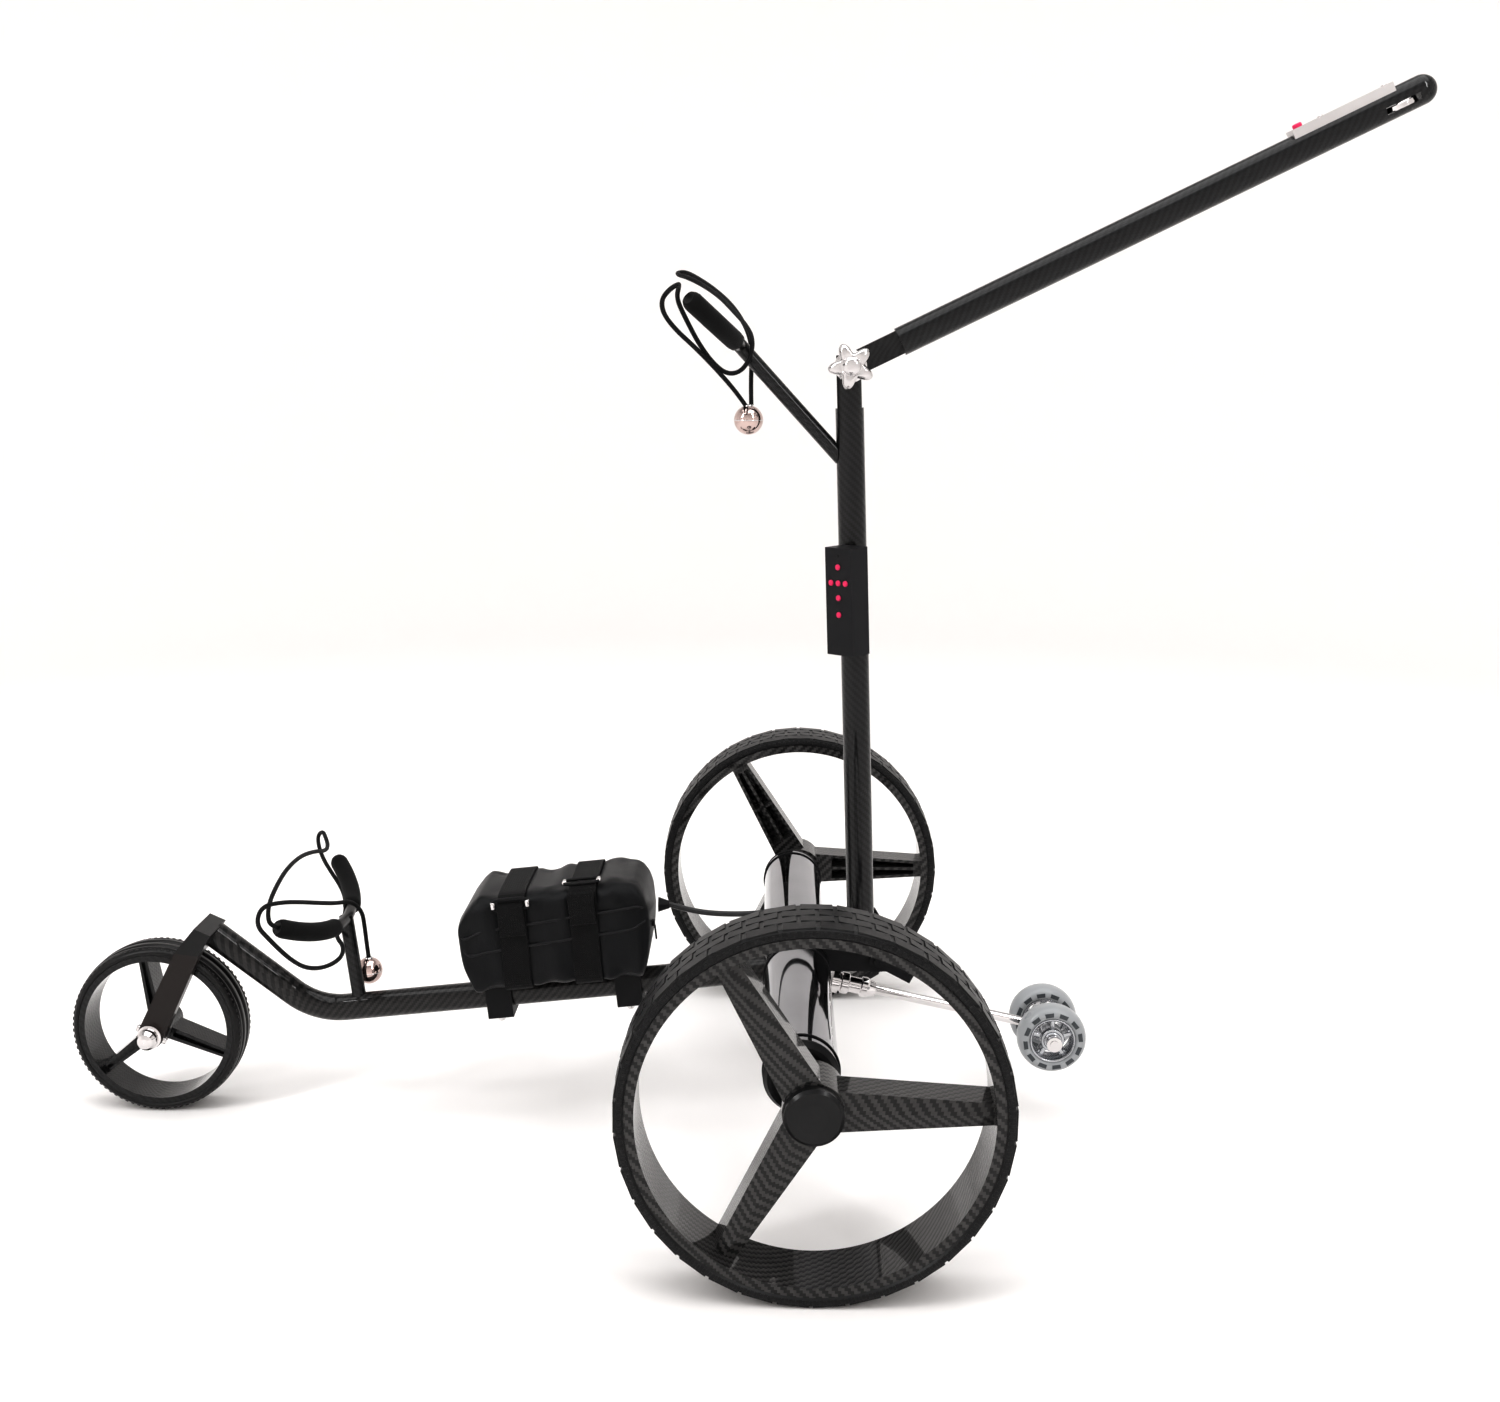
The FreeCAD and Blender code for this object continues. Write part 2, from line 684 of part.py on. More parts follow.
def stay(label, foot, end, radius, clear_of):
    """A slim tube from foot to end, trimmed where it meets its neighbours."""
    line = end - foot
    rod = Part.makeCylinder(radius, line.Length, foot, line)
    for neighbour in clear_of:
        rod = rod.cut(neighbour)
    pieces = sorted(rod.Solids, key=lambda solid: solid.Volume)
    return from_shape(label, pieces[-1])


def on_chassis(back):
    """A point on the chassis tube's axis."""
    slope = math.tan(math.radians(size("chassis_slope")))
    return spot(back, 0, size("chassis_height") + back * slope)


def lower_post():
    along = Vector(math.cos(math.radians(size("chassis_slope"))), 0, math.sin(math.radians(size("chassis_slope"))))
    foot = on_chassis(size("post_foot_back"))
    tube = Part.makeCylinder(size("tube_radius") + 0.02, 120, foot - along * 60, along)
    end = spot(size("lower_root_back"), 0, size("lower_root_height"))
    arm = swept_round(Part.Wire([lower_arc()]), size("arm_radius") + 0.02)
    return stay("lower_post", foot, end + (end - foot).normalize() * 3, size("slim_radius"), [tube, arm])


def upper_strut():
    foot = spot(size("strut_root_back"), 0, size("strut_root_height"))
    end = spot(size("strut_end_back"), 0, size("strut_end_height"))
    lean = math.radians(size("mast_lean"))
    up = Vector(-math.sin(lean), 0, math.cos(lean))
    mast = Part.makeCylinder(size("tube_radius") + 0.02, 200, foot - up * 100, up)
    arm = swept_round(Part.Wire([upper_arc()]), size("arm_radius") + 0.02)
    return stay("upper_strut", foot, end + (end - foot).normalize() * 3, size("slim_radius"), [mast, arm])


LOWER_CORD = [(-464.4, -105, 213.5), (-469, -110, 217.5), (-471.8, -106.5, 224.5), (-474, -93.5, 232),
              (-474.5, -71, 239), (-474.5, -37, 245.5), (-473, 5, 246), (-471.5, 49, 238),
              (-469.5, 83, 228.5), (-472.5, 103, 228.5), (-478, 116, 232.5), (-483.5, 126.5, 236.5),
              (-490, 131, 231), (-488, 124, 221.5), (-481, 115, 210), (-471.5, 107.5, 199),
              (-461.5, 97, 190.5), (-453, 82, 184.5), (-446, 60, 179), (-442, 35, 175.5),
              (-441.5, 10, 174), (-438, -9.5, 171.5), (-429, -20.5, 167.5), (-426.5, -35, 162.5),
              (-431, -54, 161.5), (-438, -75, 165), (-445, -93, 172.5), (-450.5, -108, 183.5),
              (-457, -119, 196), (-465, -125.5, 209), (-477, -124.5, 222), (-475, -113.5, 235.5),
              (-463, -92, 232.5), (-454.5, -62, 223), (-446, -32, 212.5), (-437, -8, 204.5),
              (-428, 10.5, 201), (-420, 19, 188.5), (-418.5, 20.5, 172), (-417.5, 21.3, 156),
              (-416, 21, 141.4)]
LOWER_BALL = (-416, 21, 128.5)
UPPER_CORD = [(-56, -1, 662.2), (-64, -9, 674), (-81, -34, 694), (-99, -62, 713), (-112, -82, 725),
              (-122, -99, 738), (-123, -110, 749), (-116, -115, 757), (-109, -109, 761.5),
              (-109, -97, 761), (-112, -86, 751), (-105, -71, 735), (-95, -55, 715), (-83, -38, 698),
              (-71, -22, 689), (-59, -14, 692), (-51, -13, 705), (-49.5, -10, 720), (-56, 1, 732),
              (-66, 24, 743), (-80, 54, 758), (-97, 82, 770), (-112, 96, 777.5), (-120, 106, 780),
              (-122, 115.5, 782.5), (-114.5, 119, 783.5), (-105, 110, 779), (-88, 92, 768),
              (-69, 62, 751), (-56, 33, 731), (-51, 18, 714), (-51, 11.5, 697), (-51.5, 6, 679),
              (-51, 1.5, 662.3)]
UPPER_BALL = (-53.4, 0, 649.6)


def lower_bungee():
    return cord("lower_bungee", [spot(*point) for point in LOWER_CORD], size("bungee_radius"))


def upper_bungee():
    return cord("upper_bungee", [spot(*point) for point in UPPER_CORD], size("bungee_radius"))


def ball(label, centre):
    back, side, height = centre
    made = bind(DOC.addObject("Part::Sphere", label), Radius="ball_radius - 0.05")
    return put(made, str(back), str(side), str(height))



def on_battery(thing, along="0", side="0", up="0", rotation=Rotation()):
    """Place in the frame that lies on the chassis tube under the battery."""
    tilt = about(Y_AXIS, -size("chassis_slope"))
    seat = on_chassis(size("bag_back"))
    thing.Placement = Placement(seat + tilt.multVec(Vector(float(along), float(side), float(up))), tilt.multiply(rotation))
    return thing


def bag_outline(shrink):
    half = f"bag_length / 2 - {shrink}"
    low = f"bag_lift + {shrink}"
    high = f"bag_lift + bag_height - {shrink}"
    return [(f"-({half}) + 14", low), (f"{half} - 14", low), (f"{half} - 4", f"{low} + 12"), (half, f"{low} + 46"),
            (f"{half} - 7", f"{high} - 12"), (f"{half} - 16", high), (f"-({half}) + 16", high),
            (f"-({half}) + 4", f"{high} - 12"), (f"-({half})", f"{high} - 36"), (f"-({half}) + 3", f"{low} + 30")]


def battery_bag():
    skin = on_battery(slab("bag_skin", bag_outline(0), "bag_width", midplane=True))
    room = on_battery(slab("bag_room", bag_outline(6), "bag_width - 2 * bag_wall", midplane=True))
    return cut("battery_bag", skin, room)


def battery_pack():
    pack = block("battery_pack", "bag_length - 56", "bag_width - 2 * bag_wall - 6", "bag_height - 22")
    return on_battery(pack, -(size("bag_length") - 56) / 2, -size("bag_width") / 2 + size("bag_wall") + 3,
                      size("bag_lift") + 6.5)


def strap(at):
    outer = block("strap_outer", "strap_width", "bag_width + 2 * strap_thick + 2 * fit_gap",
                  "bag_height + 2 * strap_thick + 2 * fit_gap")
    inner = block("strap_inner", "strap_width + 2", "bag_width + 2 * fit_gap", "bag_height + 2 * fit_gap")
    half = size("bag_width") / 2 + size("fit_gap")
    low = size("bag_lift") - size("fit_gap")
    thick = size("strap_thick")
    width = size("strap_width")
    on_battery(outer, at - width / 2, -half - thick, low - thick)
    on_battery(inner, at - width / 2 - 1, -half, low)
    return cut("strap", outer, inner)


def battery_straps():
    return group("battery_straps", [strap(size("strap_front_at")), strap(size("strap_rear_at"))])


def buckle(at, up):
    frame = block("buckle_frame", "strap_width + 8", "3", "22")
    slot = block("buckle_slot", "strap_width + 1", "6", "5")
    out = -size("bag_width") / 2 - size("fit_gap") - size("strap_thick") - 3.1
    on_battery(frame, at - size("strap_width") / 2 - 4, out, up)
    on_battery(slot, at - size("strap_width") / 2 - 0.5, out - 1, up + 13)
    return cut("buckle", frame, slot)


def strap_buckles():
    return group("strap_buckles", [buckle(size("strap_front_at"), 68), buckle(size("strap_rear_at"), 84)])


def tube_clamp(at):
    """Block under the bag, bored for the chassis tube."""
    jaw = block("clamp_jaw", "clamp_length", "34", "bag_lift + tube_radius + 6")
    bore = cylinder("clamp_bore", "tube_radius + 0.02", "clamp_length + 10")
    on_battery(jaw, at - size("clamp_length") / 2, -17, -size("tube_radius") - 6.2)
    on_battery(bore, at - size("clamp_length") / 2 - 5, 0, 0, TO_BACK)
    return cut("clamp", jaw, bore)


def tube_clamps():
    return group("tube_clamps", [tube_clamp(size("clamp_front_at")), tube_clamp(size("clamp_rear_at"))])


def small_screw():
    return turned("screw", [("0", "0"), ("3.4", "0"), ("3.4", "2.2"), ("2.6", "3.2"), ("0", "3.2")])


def clamp_screws():
    """Socket heads under the two clamps, and the two grub screws across the foot of the fork."""
    screws = []
    for at in (size("clamp_front_at"), size("clamp_rear_at")):
        for side in (-13, 13):
            screws.append(on_battery(small_screw(), at, side, -size("tube_radius") - 6.25, about(X_AXIS, 180)))
    lean = 27
    for turn, reach in ((90 + lean, 1), (lean - 90, -1)):
        rotation = about(Y_AXIS, turn)
        out = rotation.multVec(Z_AXIS) * (size("fork_half_width") + 0.1)
        centre = spot(size("front_axle_back"), size("fork_near") + size("fork_thick") / 2, size("front_axle_height"))
        screw = small_screw()
        screw.Placement = Placement(centre + out, rotation)
        screws.append(screw)
    return group("clamp_screws", screws)


CABLE = [(-126, 0, 203.5), (-112, -1, 199.6), (-89, -5, 196.8), (-56, -11, 198.2), (-24, -17.5, 203.5),
         (1, -22, 203), (17, -24.6, 197.5), (30, -25.5, 193.2)]


def battery_cable():
    return cord("battery_cable", [spot(*point) for point in CABLE], size("cable_radius"))


def cable_plugs():
    """Strain relief on the bag, and the plug on the hinge bracket."""
    relief = Part.makeCone(7, 3.4, 10.5, spot(-136.5, 0, 203.5), X_AXIS)
    body = Part.makeBox(19, 12, 12, spot(30, -31.5, 187))
    body = body.makeFillet(2, [edge for edge in body.Edges if edge.Length > 15])
    body = body.cut(Part.makeCylinder(8, 10, spot(size("fold_back"), -25, size("fold_height")), Y_AXIS))
    return from_shape("cable_plugs", Part.makeCompound([relief, body]))



def mast_frame():
    return Placement(spot(size("mast_foot_back"), 0, size("mast_foot_height")), about(Y_AXIS, -size("mast_lean")))


def in_frame(thing, frame, along=(0, 0, 0), rotation=Rotation()):
    thing.Placement = frame.multiply(Placement(Vector(*along), rotation))
    return thing


def handle_frame():
    return Placement(spot(size("pivot_back"), 0, size("pivot_height")), about(Y_AXIS, -size("handle_rise")))


def mast_local(back, height):
    return mast_frame().inverse().multVec(spot(back, 0, height))


def mast_tube():
    outer = in_frame(cylinder("mast_outer", "tube_radius", "mast_length"), mast_frame())
    inner = in_frame(cylinder("mast_inner", "tube_radius - tube_wall", "mast_length + 20"), mast_frame(), (0, 0, -10))
    fold = mast_local(size("fold_back"), size("fold_height"))
    pivot = mast_local(size("pivot_back"), size("pivot_height"))
    pin = in_frame(cylinder("mast_pin_bore", "fold_pin_radius + 0.05", "60"), mast_frame(), (fold.x, 30, fold.z), TO_LEFT)
    bolt = in_frame(cylinder("mast_bolt_bore", "fold_pin_radius", "60"), mast_frame(), (pivot.x, 30, pivot.z), TO_LEFT)
    slot = block("mast_slot", "60", "tongue_thick + 0.6", "80")
    in_frame(slot, mast_frame(), (-30, -size("tongue_thick") / 2 - 0.3, pivot.z - 36))
    return cut("mast_tube", outer, fuse("mast_hollow", [inner, pin, bolt, slot]))


def handle_bolt():
    reach = "tube_radius"
    return in_frame(turned("handle_bolt", [
        ("0", f"-{reach} - 7"), ("6", f"-{reach} - 7"), ("8", f"-{reach} - 5.5"), ("8", f"-{reach} - 0.2"),
        ("fold_pin_radius", f"-{reach} - 0.2"), ("fold_pin_radius", f"{reach} + 0.1"), ("13", f"{reach} + 0.1"),
        ("14", f"{reach} + 1"), ("14", f"{reach} + 5"), ("11", f"{reach} + 8"), ("fold_pin_radius", f"{reach} + 8"),
        ("fold_pin_radius", f"{reach} + 17"), ("0", f"{reach} + 17")]),
        handle_frame(), (0, 0, 0), TO_LEFT)


def star_knob():
    """Five-lobed clamping knob with a domed face."""
    thick = "knob_thick"
    core = turned("knob_core", [
        ("fold_pin_radius + 0.06", "0"), ("11", "0"), ("14", "3"), ("14.5", f"{thick} - 3"), ("11", f"{thick}"),
        ("6", f"{thick} + 2.4"), ("0", f"{thick} + 3"), ("0", "10"), ("fold_pin_radius + 0.06", "10")])
    lobes = [core]
    for k in range(5):
        turn = math.radians(90 + 72 * k)
        lobe = cylinder(f"knob_lobe_{k}", "5.6", f"{thick} - 2.5")
        reach = size("knob_radius") - 5.6
        lobe.Placement = Placement(Vector(reach * math.cos(turn), reach * math.sin(turn), 1.5), Rotation())
        lobes.append(lobe)
    knob = fuse("star_knob", lobes)
    return in_frame(knob, handle_frame(), (0, -size("tube_radius") - 8.3, 0), TO_LEFT)


def handle_tube():
    """Tube with a flat tongue at the pivot and a rounded grip end."""
    frame = handle_frame()
    start = size("tongue_length")
    straight = size("handle_length") - start - size("tube_radius")
    outer = in_frame(bind(cylinder("handle_outer", "tube_radius", "handle_length - tongue_length - tube_radius")),
                     frame, (start, 0, 0), TO_BACK)
    end = in_frame(bind(DOC.addObject("Part::Sphere", "handle_end"), Radius="tube_radius"), frame, (start + straight, 0, 0))
    tongue = block("handle_tongue", "tongue_length + 6", "tongue_thick", "21")
    in_frame(tongue, frame, (0, -size("tongue_thick") / 2, -10.5))
    nose = in_frame(cylinder("handle_nose", "10.5", "tongue_thick"), frame, (0, size("tongue_thick") / 2, 0), TO_LEFT)
    solid = fuse("handle_solid", [outer, end, tongue, nose])
    inner = in_frame(cylinder("handle_inner", "tube_radius - tube_wall", "handle_length - tongue_length - 24"),
                     frame, (start + 8, 0, 0), TO_BACK)
    bolt = in_frame(cylinder("handle_bolt_bore", "fold_pin_radius + 0.05", "60"), frame, (0, 30, 0), TO_LEFT)
    seat = block("plate_seat", "plate_length + 0.4", "plate_width + 12", "12")
    in_frame(seat, frame, (size("plate_start") - 0.2, -size("plate_width") / 2 - 6, size("tube_radius") - 3.9))
    slot = block("wheel_slot", "2 * speed_wheel_radius + 3", "40", "speed_wheel_thick + 1")
    in_frame(slot, frame, (size("wheel_slot_at") - size("speed_wheel_radius") - 1.5, -20,
                           -4 - size("speed_wheel_thick") / 2 - 0.5))
    hollowed = cut("handle_hollowed", solid, fuse("handle_hollow", [inner, bolt, seat, slot]))
    pin = in_frame(cylinder("speed_wheel_pin", "2", "20"), frame, (size("wheel_slot_at"), 0, -12))
    return fuse("handle_tube", [hollowed, pin])


def control_plate():
    low = size("tube_radius") - 3.8
    bar = block("plate_bar", "plate_length", "plate_width", "plate_height")
    in_frame(bar, handle_frame(), (size("plate_start"), -size("plate_width") / 2, low))
    well = in_frame(cylinder("plate_well", "4.1", "20"), handle_frame(), (size("plate_start") + 8, 0, low + 2))
    return cut("control_plate", bar, well)


def control_button():
    button = turned("control_button", [("0", "0"), ("4", "0"), ("4", "7"), ("3.2", "7.8"), ("0", "8")])
    return in_frame(button, handle_frame(), (size("plate_start") + 8, 0, size("tube_radius") - 0.2))


def speed_wheel():
    half = size("speed_wheel_thick") / 2
    wheel = turned("speed_wheel", [("2.06", -half), ("speed_wheel_radius - 0.8", -half),
                                   ("speed_wheel_radius", -half + 0.8), ("speed_wheel_radius", half - 0.8),
                                   ("speed_wheel_radius - 0.8", half), ("2.06", half)])
    return in_frame(wheel, handle_frame(), (size("wheel_slot_at"), 0, -4))


def mast_latch():
    """Locking lever on the outside of the left ear."""
    disc = cylinder("latch_disc", "9", "5")
    arm = block("latch_arm", "34", "10", "5")
    arm.Placement = Placement(Vector(0, -5, 0), Rotation())
    bore = bind(cylinder("latch_bore", "3.05", "20"))
    bore.Placement = Placement(Vector(0, 0, -5), Rotation())
    lever = cut("mast_latch", fuse("latch_solid", [disc, arm]), bore)
    side = -size("tube_radius") - 0.8 - size("ear_thick") - 0.3
    lever.Placement = Placement(spot(size("latch_back"), side, size("latch_height")), TO_LEFT.multiply(about(Z_AXIS, -28)))
    return lever



def remote_frame():
    mast = mast_frame()
    height = (size("remote_low") - size("mast_foot_height")) / math.cos(math.radians(size("mast_lean")))
    local = Placement(Vector(size("remote_ahead"), size("remote_side"), height), about(Z_AXIS, -size("remote_turn")))
    return mast.multiply(local)


def remote_half(label, near):
    """Half of the case, open on the inside; the front half is holed for the keys."""
    depth = size("remote_depth") / 2
    shell = block("case_solid", "remote_width", "remote_depth / 2", "remote_height")
    low = -depth if near else 0.02
    in_frame(shell, remote_frame(), (-size("remote_width") / 2, low, 0))
    room = block("case_room", "remote_width - 4", "remote_depth / 2", "remote_height - 4")
    inside = -depth + 2 if near else -1.98
    in_frame(room, remote_frame(), (-size("remote_width") / 2 + 2, inside, 2))
    tools = [room]
    if near:
        for across, up in BUTTONS.values():
            hole = cylinder("key_hole", "button_radius + 0.1", "8")
            tools.append(in_frame(hole, remote_frame(), (across, -depth + 4, up), TO_LEFT))
    return cut(label, shell, fuse(f"{label}_tools", tools) if len(tools) > 1 else room)


BUTTONS = {
    "remote_button_forward": (0, 78),
    "remote_button_left": (-8.4, 64),
    "remote_button_stop": (0, 64),
    "remote_button_right": (8.4, 64),
    "remote_button_back": (0, 51),
    "remote_button_pause": (0, 36),
}


def remote_button(label):
    across, up = BUTTONS[label]
    key = turned(label, [("0", "-4"), ("button_radius + 1", "-4"), ("button_radius + 1", "-3"), ("button_radius", "-3"),
                         ("button_radius", "0.8"), ("button_radius - 0.6", "1.4"), ("0", "1.6")])
    return in_frame(key, remote_frame(), (across, -size("remote_depth") / 2, up), TO_LEFT)


def remote_cradle():
    """Open clip round the mast with a flat back for the remote control."""
    mast = mast_frame()
    low = (size("remote_low") - size("mast_foot_height")) + 18
    ring = in_frame(cylinder("clip_ring", "tube_radius + 1.6", "60"), mast, (0, 0, low))
    core = in_frame(cylinder("clip_core", "tube_radius + 0.02", "80"), mast, (0, 0, low - 10))
    mouth = in_frame(block("clip_mouth", "20", "14", "80"), mast, (7, -7, low - 10))
    plate = in_frame(block("clip_plate", "24", "2.6", "60"), remote_frame(), (-16, size("remote_depth") / 2 + 0.3, 18))
    solid = fuse("clip_solid", [ring, plate])
    return cut("remote_cradle", solid, fuse("clip_hollow", [core, mouth]))



def anti_tip_rod():
    """Rod down to a cross axle with a nut at each end."""
    foot = spot(size("socket_back"), 0, size("socket_height"))
    down = anti_tip_rotation().multVec(Z_AXIS)
    axle = spot(size("anti_axle_back"), 0, size("anti_axle_height"))
    start = axle - down * ((axle - foot).dot(down) - 12)
    rod = Part.makeCylinder(size("rod_radius"), (axle - start).Length, start, down)
    half = size("anti_track_half") + size("anti_width") / 2 + 9
    bar = Part.makeCylinder(size("anti_axle_radius"), 2 * half, axle - Y_AXIS * half, Y_AXIS)
    boss = Part.makeCylinder(8, 18, axle - Y_AXIS * 9, Y_AXIS)
    solid = rod.fuse([bar, boss])
    for side in (-1, 1):
        nut = Part.makeCylinder(7, 5, axle + Y_AXIS * side * (half - 6), Y_AXIS * side)
        solid = solid.fuse(nut)
    return from_shape("anti_tip_rod", solid.removeSplitter())


def anti_tip_hub(label, side):
    bore = "anti_axle_radius + 0.05"
    corners = [(bore, "-12"), ("8", "-12"), ("8", "-9"), ("19", "-9"), ("21", "-11"), ("21", "11"),
               ("19", "9"), ("8", "9"), ("8", "12"), (bore, "12")]
    hub = turned(label, corners)
    return put(hub, "anti_axle_back", side, "anti_axle_height", TO_LEFT)


def anti_tip_tyre(label, side):
    corners = [("21.05", "-10"), ("25", "-12"), ("28.6", "-11"), ("30.9", "-6"), ("anti_radius", "-2"),
               ("anti_radius", "2"), ("30.9", "6"), ("28.6", "11"), ("25", "12"), ("21.05", "10")]
    return put(turned(label, corners), "anti_axle_back", side, "anti_axle_height", TO_LEFT)


def make_parts():
    half = "drive_track_half"
    parts = [
        chassis_tube(), fork_crown(), fork_leg(), front_axle(), front_axle_nut(), motor_housing(),
        group("motor_end_caps", [motor_end_cap("-housing_half", TO_LEFT), motor_end_cap("housing_half", TO_RIGHT)]),
        gear_motor("gear_motor_left", "-1", TO_LEFT), gear_motor("gear_motor_right", "1", TO_RIGHT),
        mast_bracket(), mast_hinge_pin(), anti_tip_socket(),
        lower_post(), saddle("lower_saddle", lower_arc()), saddle_pads("lower_pads", lower_arc()),
        lower_bungee(), ball("lower_bungee_ball", LOWER_BALL),
        battery_bag(), battery_pack(), battery_straps(), strap_buckles(), tube_clamps(), clamp_screws(),
        battery_cable(), cable_plugs(),
        mast_tube(), upper_strut(), saddle("upper_saddle", upper_arc()), saddle_pads("upper_pads", upper_arc()),
        upper_bungee(), ball("upper_bungee_ball", UPPER_BALL), remote_cradle(), handle_bolt(),
        handle_tube(), control_plate(), control_button(), speed_wheel(), star_knob(), mast_latch(),
        remote_half("remote_front_case", True), remote_half("remote_back_case", False),
        *[remote_button(label) for label in BUTTONS],
        drive_wheel("drive_wheel_left", f"-{half}", TO_LEFT), drive_wheel("drive_wheel_right", half, TO_RIGHT),
        drive_tyre("drive_tyre_left", f"-{half}", TO_LEFT), drive_tyre("drive_tyre_right", half, TO_RIGHT),
        wheel_hub("wheel_hub_left", f"-{half}", TO_LEFT), wheel_hub("wheel_hub_right", half, TO_RIGHT),
        front_wheel(), front_tyre(), anti_tip_rod(),
        anti_tip_hub("anti_tip_hub_left", "-anti_track_half"), anti_tip_hub("anti_tip_hub_right", "anti_track_half"),
        anti_tip_tyre("anti_tip_tyre_left", "-anti_track_half"), anti_tip_tyre("anti_tip_tyre_right", "anti_track_half"),
    ]
    return parts


def check(parts):
    DOC.recompute()
    for thing in DOC.Objects:
        if "Invalid" in thing.State or "Error" in thing.State:
            raise RuntimeError(f"{thing.Label} failed: {thing.State}")
    for part in parts:
        if part.Shape.isNull() or not part.Shape.isValid() or not part.Shape.Solids:
            raise RuntimeError(f"{part.Label} has no sound solid")


def write(parts):
    os.makedirs("parts", exist_ok=True)
    whole = FreeCAD.BoundBox()
    for part in parts:
        part.Shape.exportStep(f"parts/{part.Label}.step")
        whole.add(part.Shape.BoundBox)
        print(f"{part.Label}: {len(part.Shape.Solids)} solids, {part.Shape.Volume / 1000:.2f} cm3")
    print(f"{len(parts)} parts, box {whole}")


PARTS = make_parts()
check(PARTS)
write(PARTS)
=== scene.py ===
import math
import bmesh
import bpy
from mathutils import Euler, Matrix, Vector, noise


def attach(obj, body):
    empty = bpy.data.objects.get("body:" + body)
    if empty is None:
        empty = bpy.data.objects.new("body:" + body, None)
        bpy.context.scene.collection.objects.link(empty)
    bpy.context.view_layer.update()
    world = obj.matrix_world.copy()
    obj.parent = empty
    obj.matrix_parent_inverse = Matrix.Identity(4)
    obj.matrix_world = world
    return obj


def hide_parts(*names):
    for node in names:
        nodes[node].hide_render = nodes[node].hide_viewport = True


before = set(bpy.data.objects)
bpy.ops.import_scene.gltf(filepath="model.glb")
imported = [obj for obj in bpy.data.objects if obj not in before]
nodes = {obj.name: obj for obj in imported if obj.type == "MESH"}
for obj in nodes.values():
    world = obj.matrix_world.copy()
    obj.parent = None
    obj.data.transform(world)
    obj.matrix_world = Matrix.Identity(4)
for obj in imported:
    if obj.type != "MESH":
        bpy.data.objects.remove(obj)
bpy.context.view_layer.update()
scene = bpy.context.scene

# Places are in millimetres behind the rear axle, to the right, and above the floor.
rearAxle = 84.5


def spot(back, side, up):
    return Vector(((back + rearAxle) / 1000, side / 1000, up / 1000))


def mm(*values):
    return Vector([value / 1000 for value in values])


def tilt(degrees):
    return Matrix.Rotation(math.radians(degrees), 4, "Y")


def shift(x, y, z):
    return Matrix.Translation(mm(x, y, z))


def seat(back, side, up, turn):
    return Matrix.Translation(spot(back, side, up)) @ turn


toLeft = Matrix.Rotation(math.radians(90), 4, "X")
toRight = Matrix.Rotation(math.radians(-90), 4, "X")
alongTube = Matrix.Rotation(math.radians(90), 4, "Y")

# Frames to build in: on the battery's stretch of tube, the mast, the grip and the remote.
batteryFrame = seat(-222, 0, 145.9 - 222 * math.tan(math.radians(6.1)), tilt(-6.1))
mastFrame = seat(52.9, 0, 150, tilt(-1.97))
gripFrame = seat(35.2, 0, 696, tilt(-25.5))
remoteFrame = mastFrame @ shift(-7, -29, 296.2) @ Matrix.Rotation(math.radians(-45), 4, "Z")
leftWheel = seat(0, -317, 150, toLeft)
rightWheel = seat(0, 317, 150, toRight)
frontWheel = seat(-611.8, 0, 81.4, toLeft)

view = {"place": (0.0485925, -1.506854, 0.693913), "yaw": 0.034601, "pitch": 0.1842, "roll": -0.002393,
        "lens": 40.526, "shiftX": 0.02673, "shiftY": -0.01161}


def makeCamera():
    data = bpy.data.cameras.new("camera")
    data.lens, data.sensor_width = view["lens"], 36
    data.shift_x, data.shift_y = view["shiftX"], view["shiftY"]
    data.clip_start, data.clip_end = 0.05, 60
    camera = bpy.data.objects.new("camera", data)
    scene.collection.objects.link(camera)
    turn = Euler((math.pi / 2 - view["pitch"], 0, view["yaw"])).to_matrix()
    camera.rotation_euler = (turn @ Matrix.Rotation(view["roll"], 3, "Z")).to_euler()
    camera.location = view["place"]
    scene.camera = camera


def meshPiece(name, points, faces, smooth=True):
    mesh = bpy.data.meshes.new(name)
    mesh.from_pydata([tuple(p) for p in points], [], faces)
    mesh.update()
    piece = bpy.data.objects.new(name, mesh)
    scene.collection.objects.link(piece)
    for face in mesh.polygons:
        face.use_smooth = smooth
    tidyMesh(piece)
    return piece


def tidyMesh(piece):
    work = bmesh.new()
    work.from_mesh(piece.data)
    bmesh.ops.remove_doubles(work, verts=work.verts, dist=1e-6)
    bmesh.ops.recalc_face_normals(work, faces=work.faces)
    work.to_mesh(piece.data)
    work.free()


def gridFaces(rows, count, wrapRows, start=0):
    faces = []
    for k in range(rows if wrapRows else rows - 1):
        here, there = start + k * count, start + (k + 1) % rows * count
        for j in range(count):
            nextJ = (j + 1) % count
            faces.append((here + j, there + j, there + nextJ, here + nextJ))
    return faces


def spunPoints(profile, segments, place):
    points = []
    for k in range(segments):
        a = 2 * math.pi * k / segments
        points += [place @ mm(r * math.cos(a), r * math.sin(a), z) for r, z in profile]
    return points


def spun(name, profile, segments, place):
    return meshPiece(name, spunPoints(profile, segments, place), gridFaces(segments, len(profile), True))


def addSpun(points, faces, profile, segments, place):
    start = len(points)
    points += spunPoints(profile, segments, place)
    faces += gridFaces(segments, len(profile), True, start)


# the six faces of a block whose corners run round the bottom, then round the top
boxLoops = ((0, 1, 2, 3), (4, 5, 6, 7), (0, 1, 5, 4), (1, 2, 6, 5), (2, 3, 7, 6), (3, 0, 4, 7))


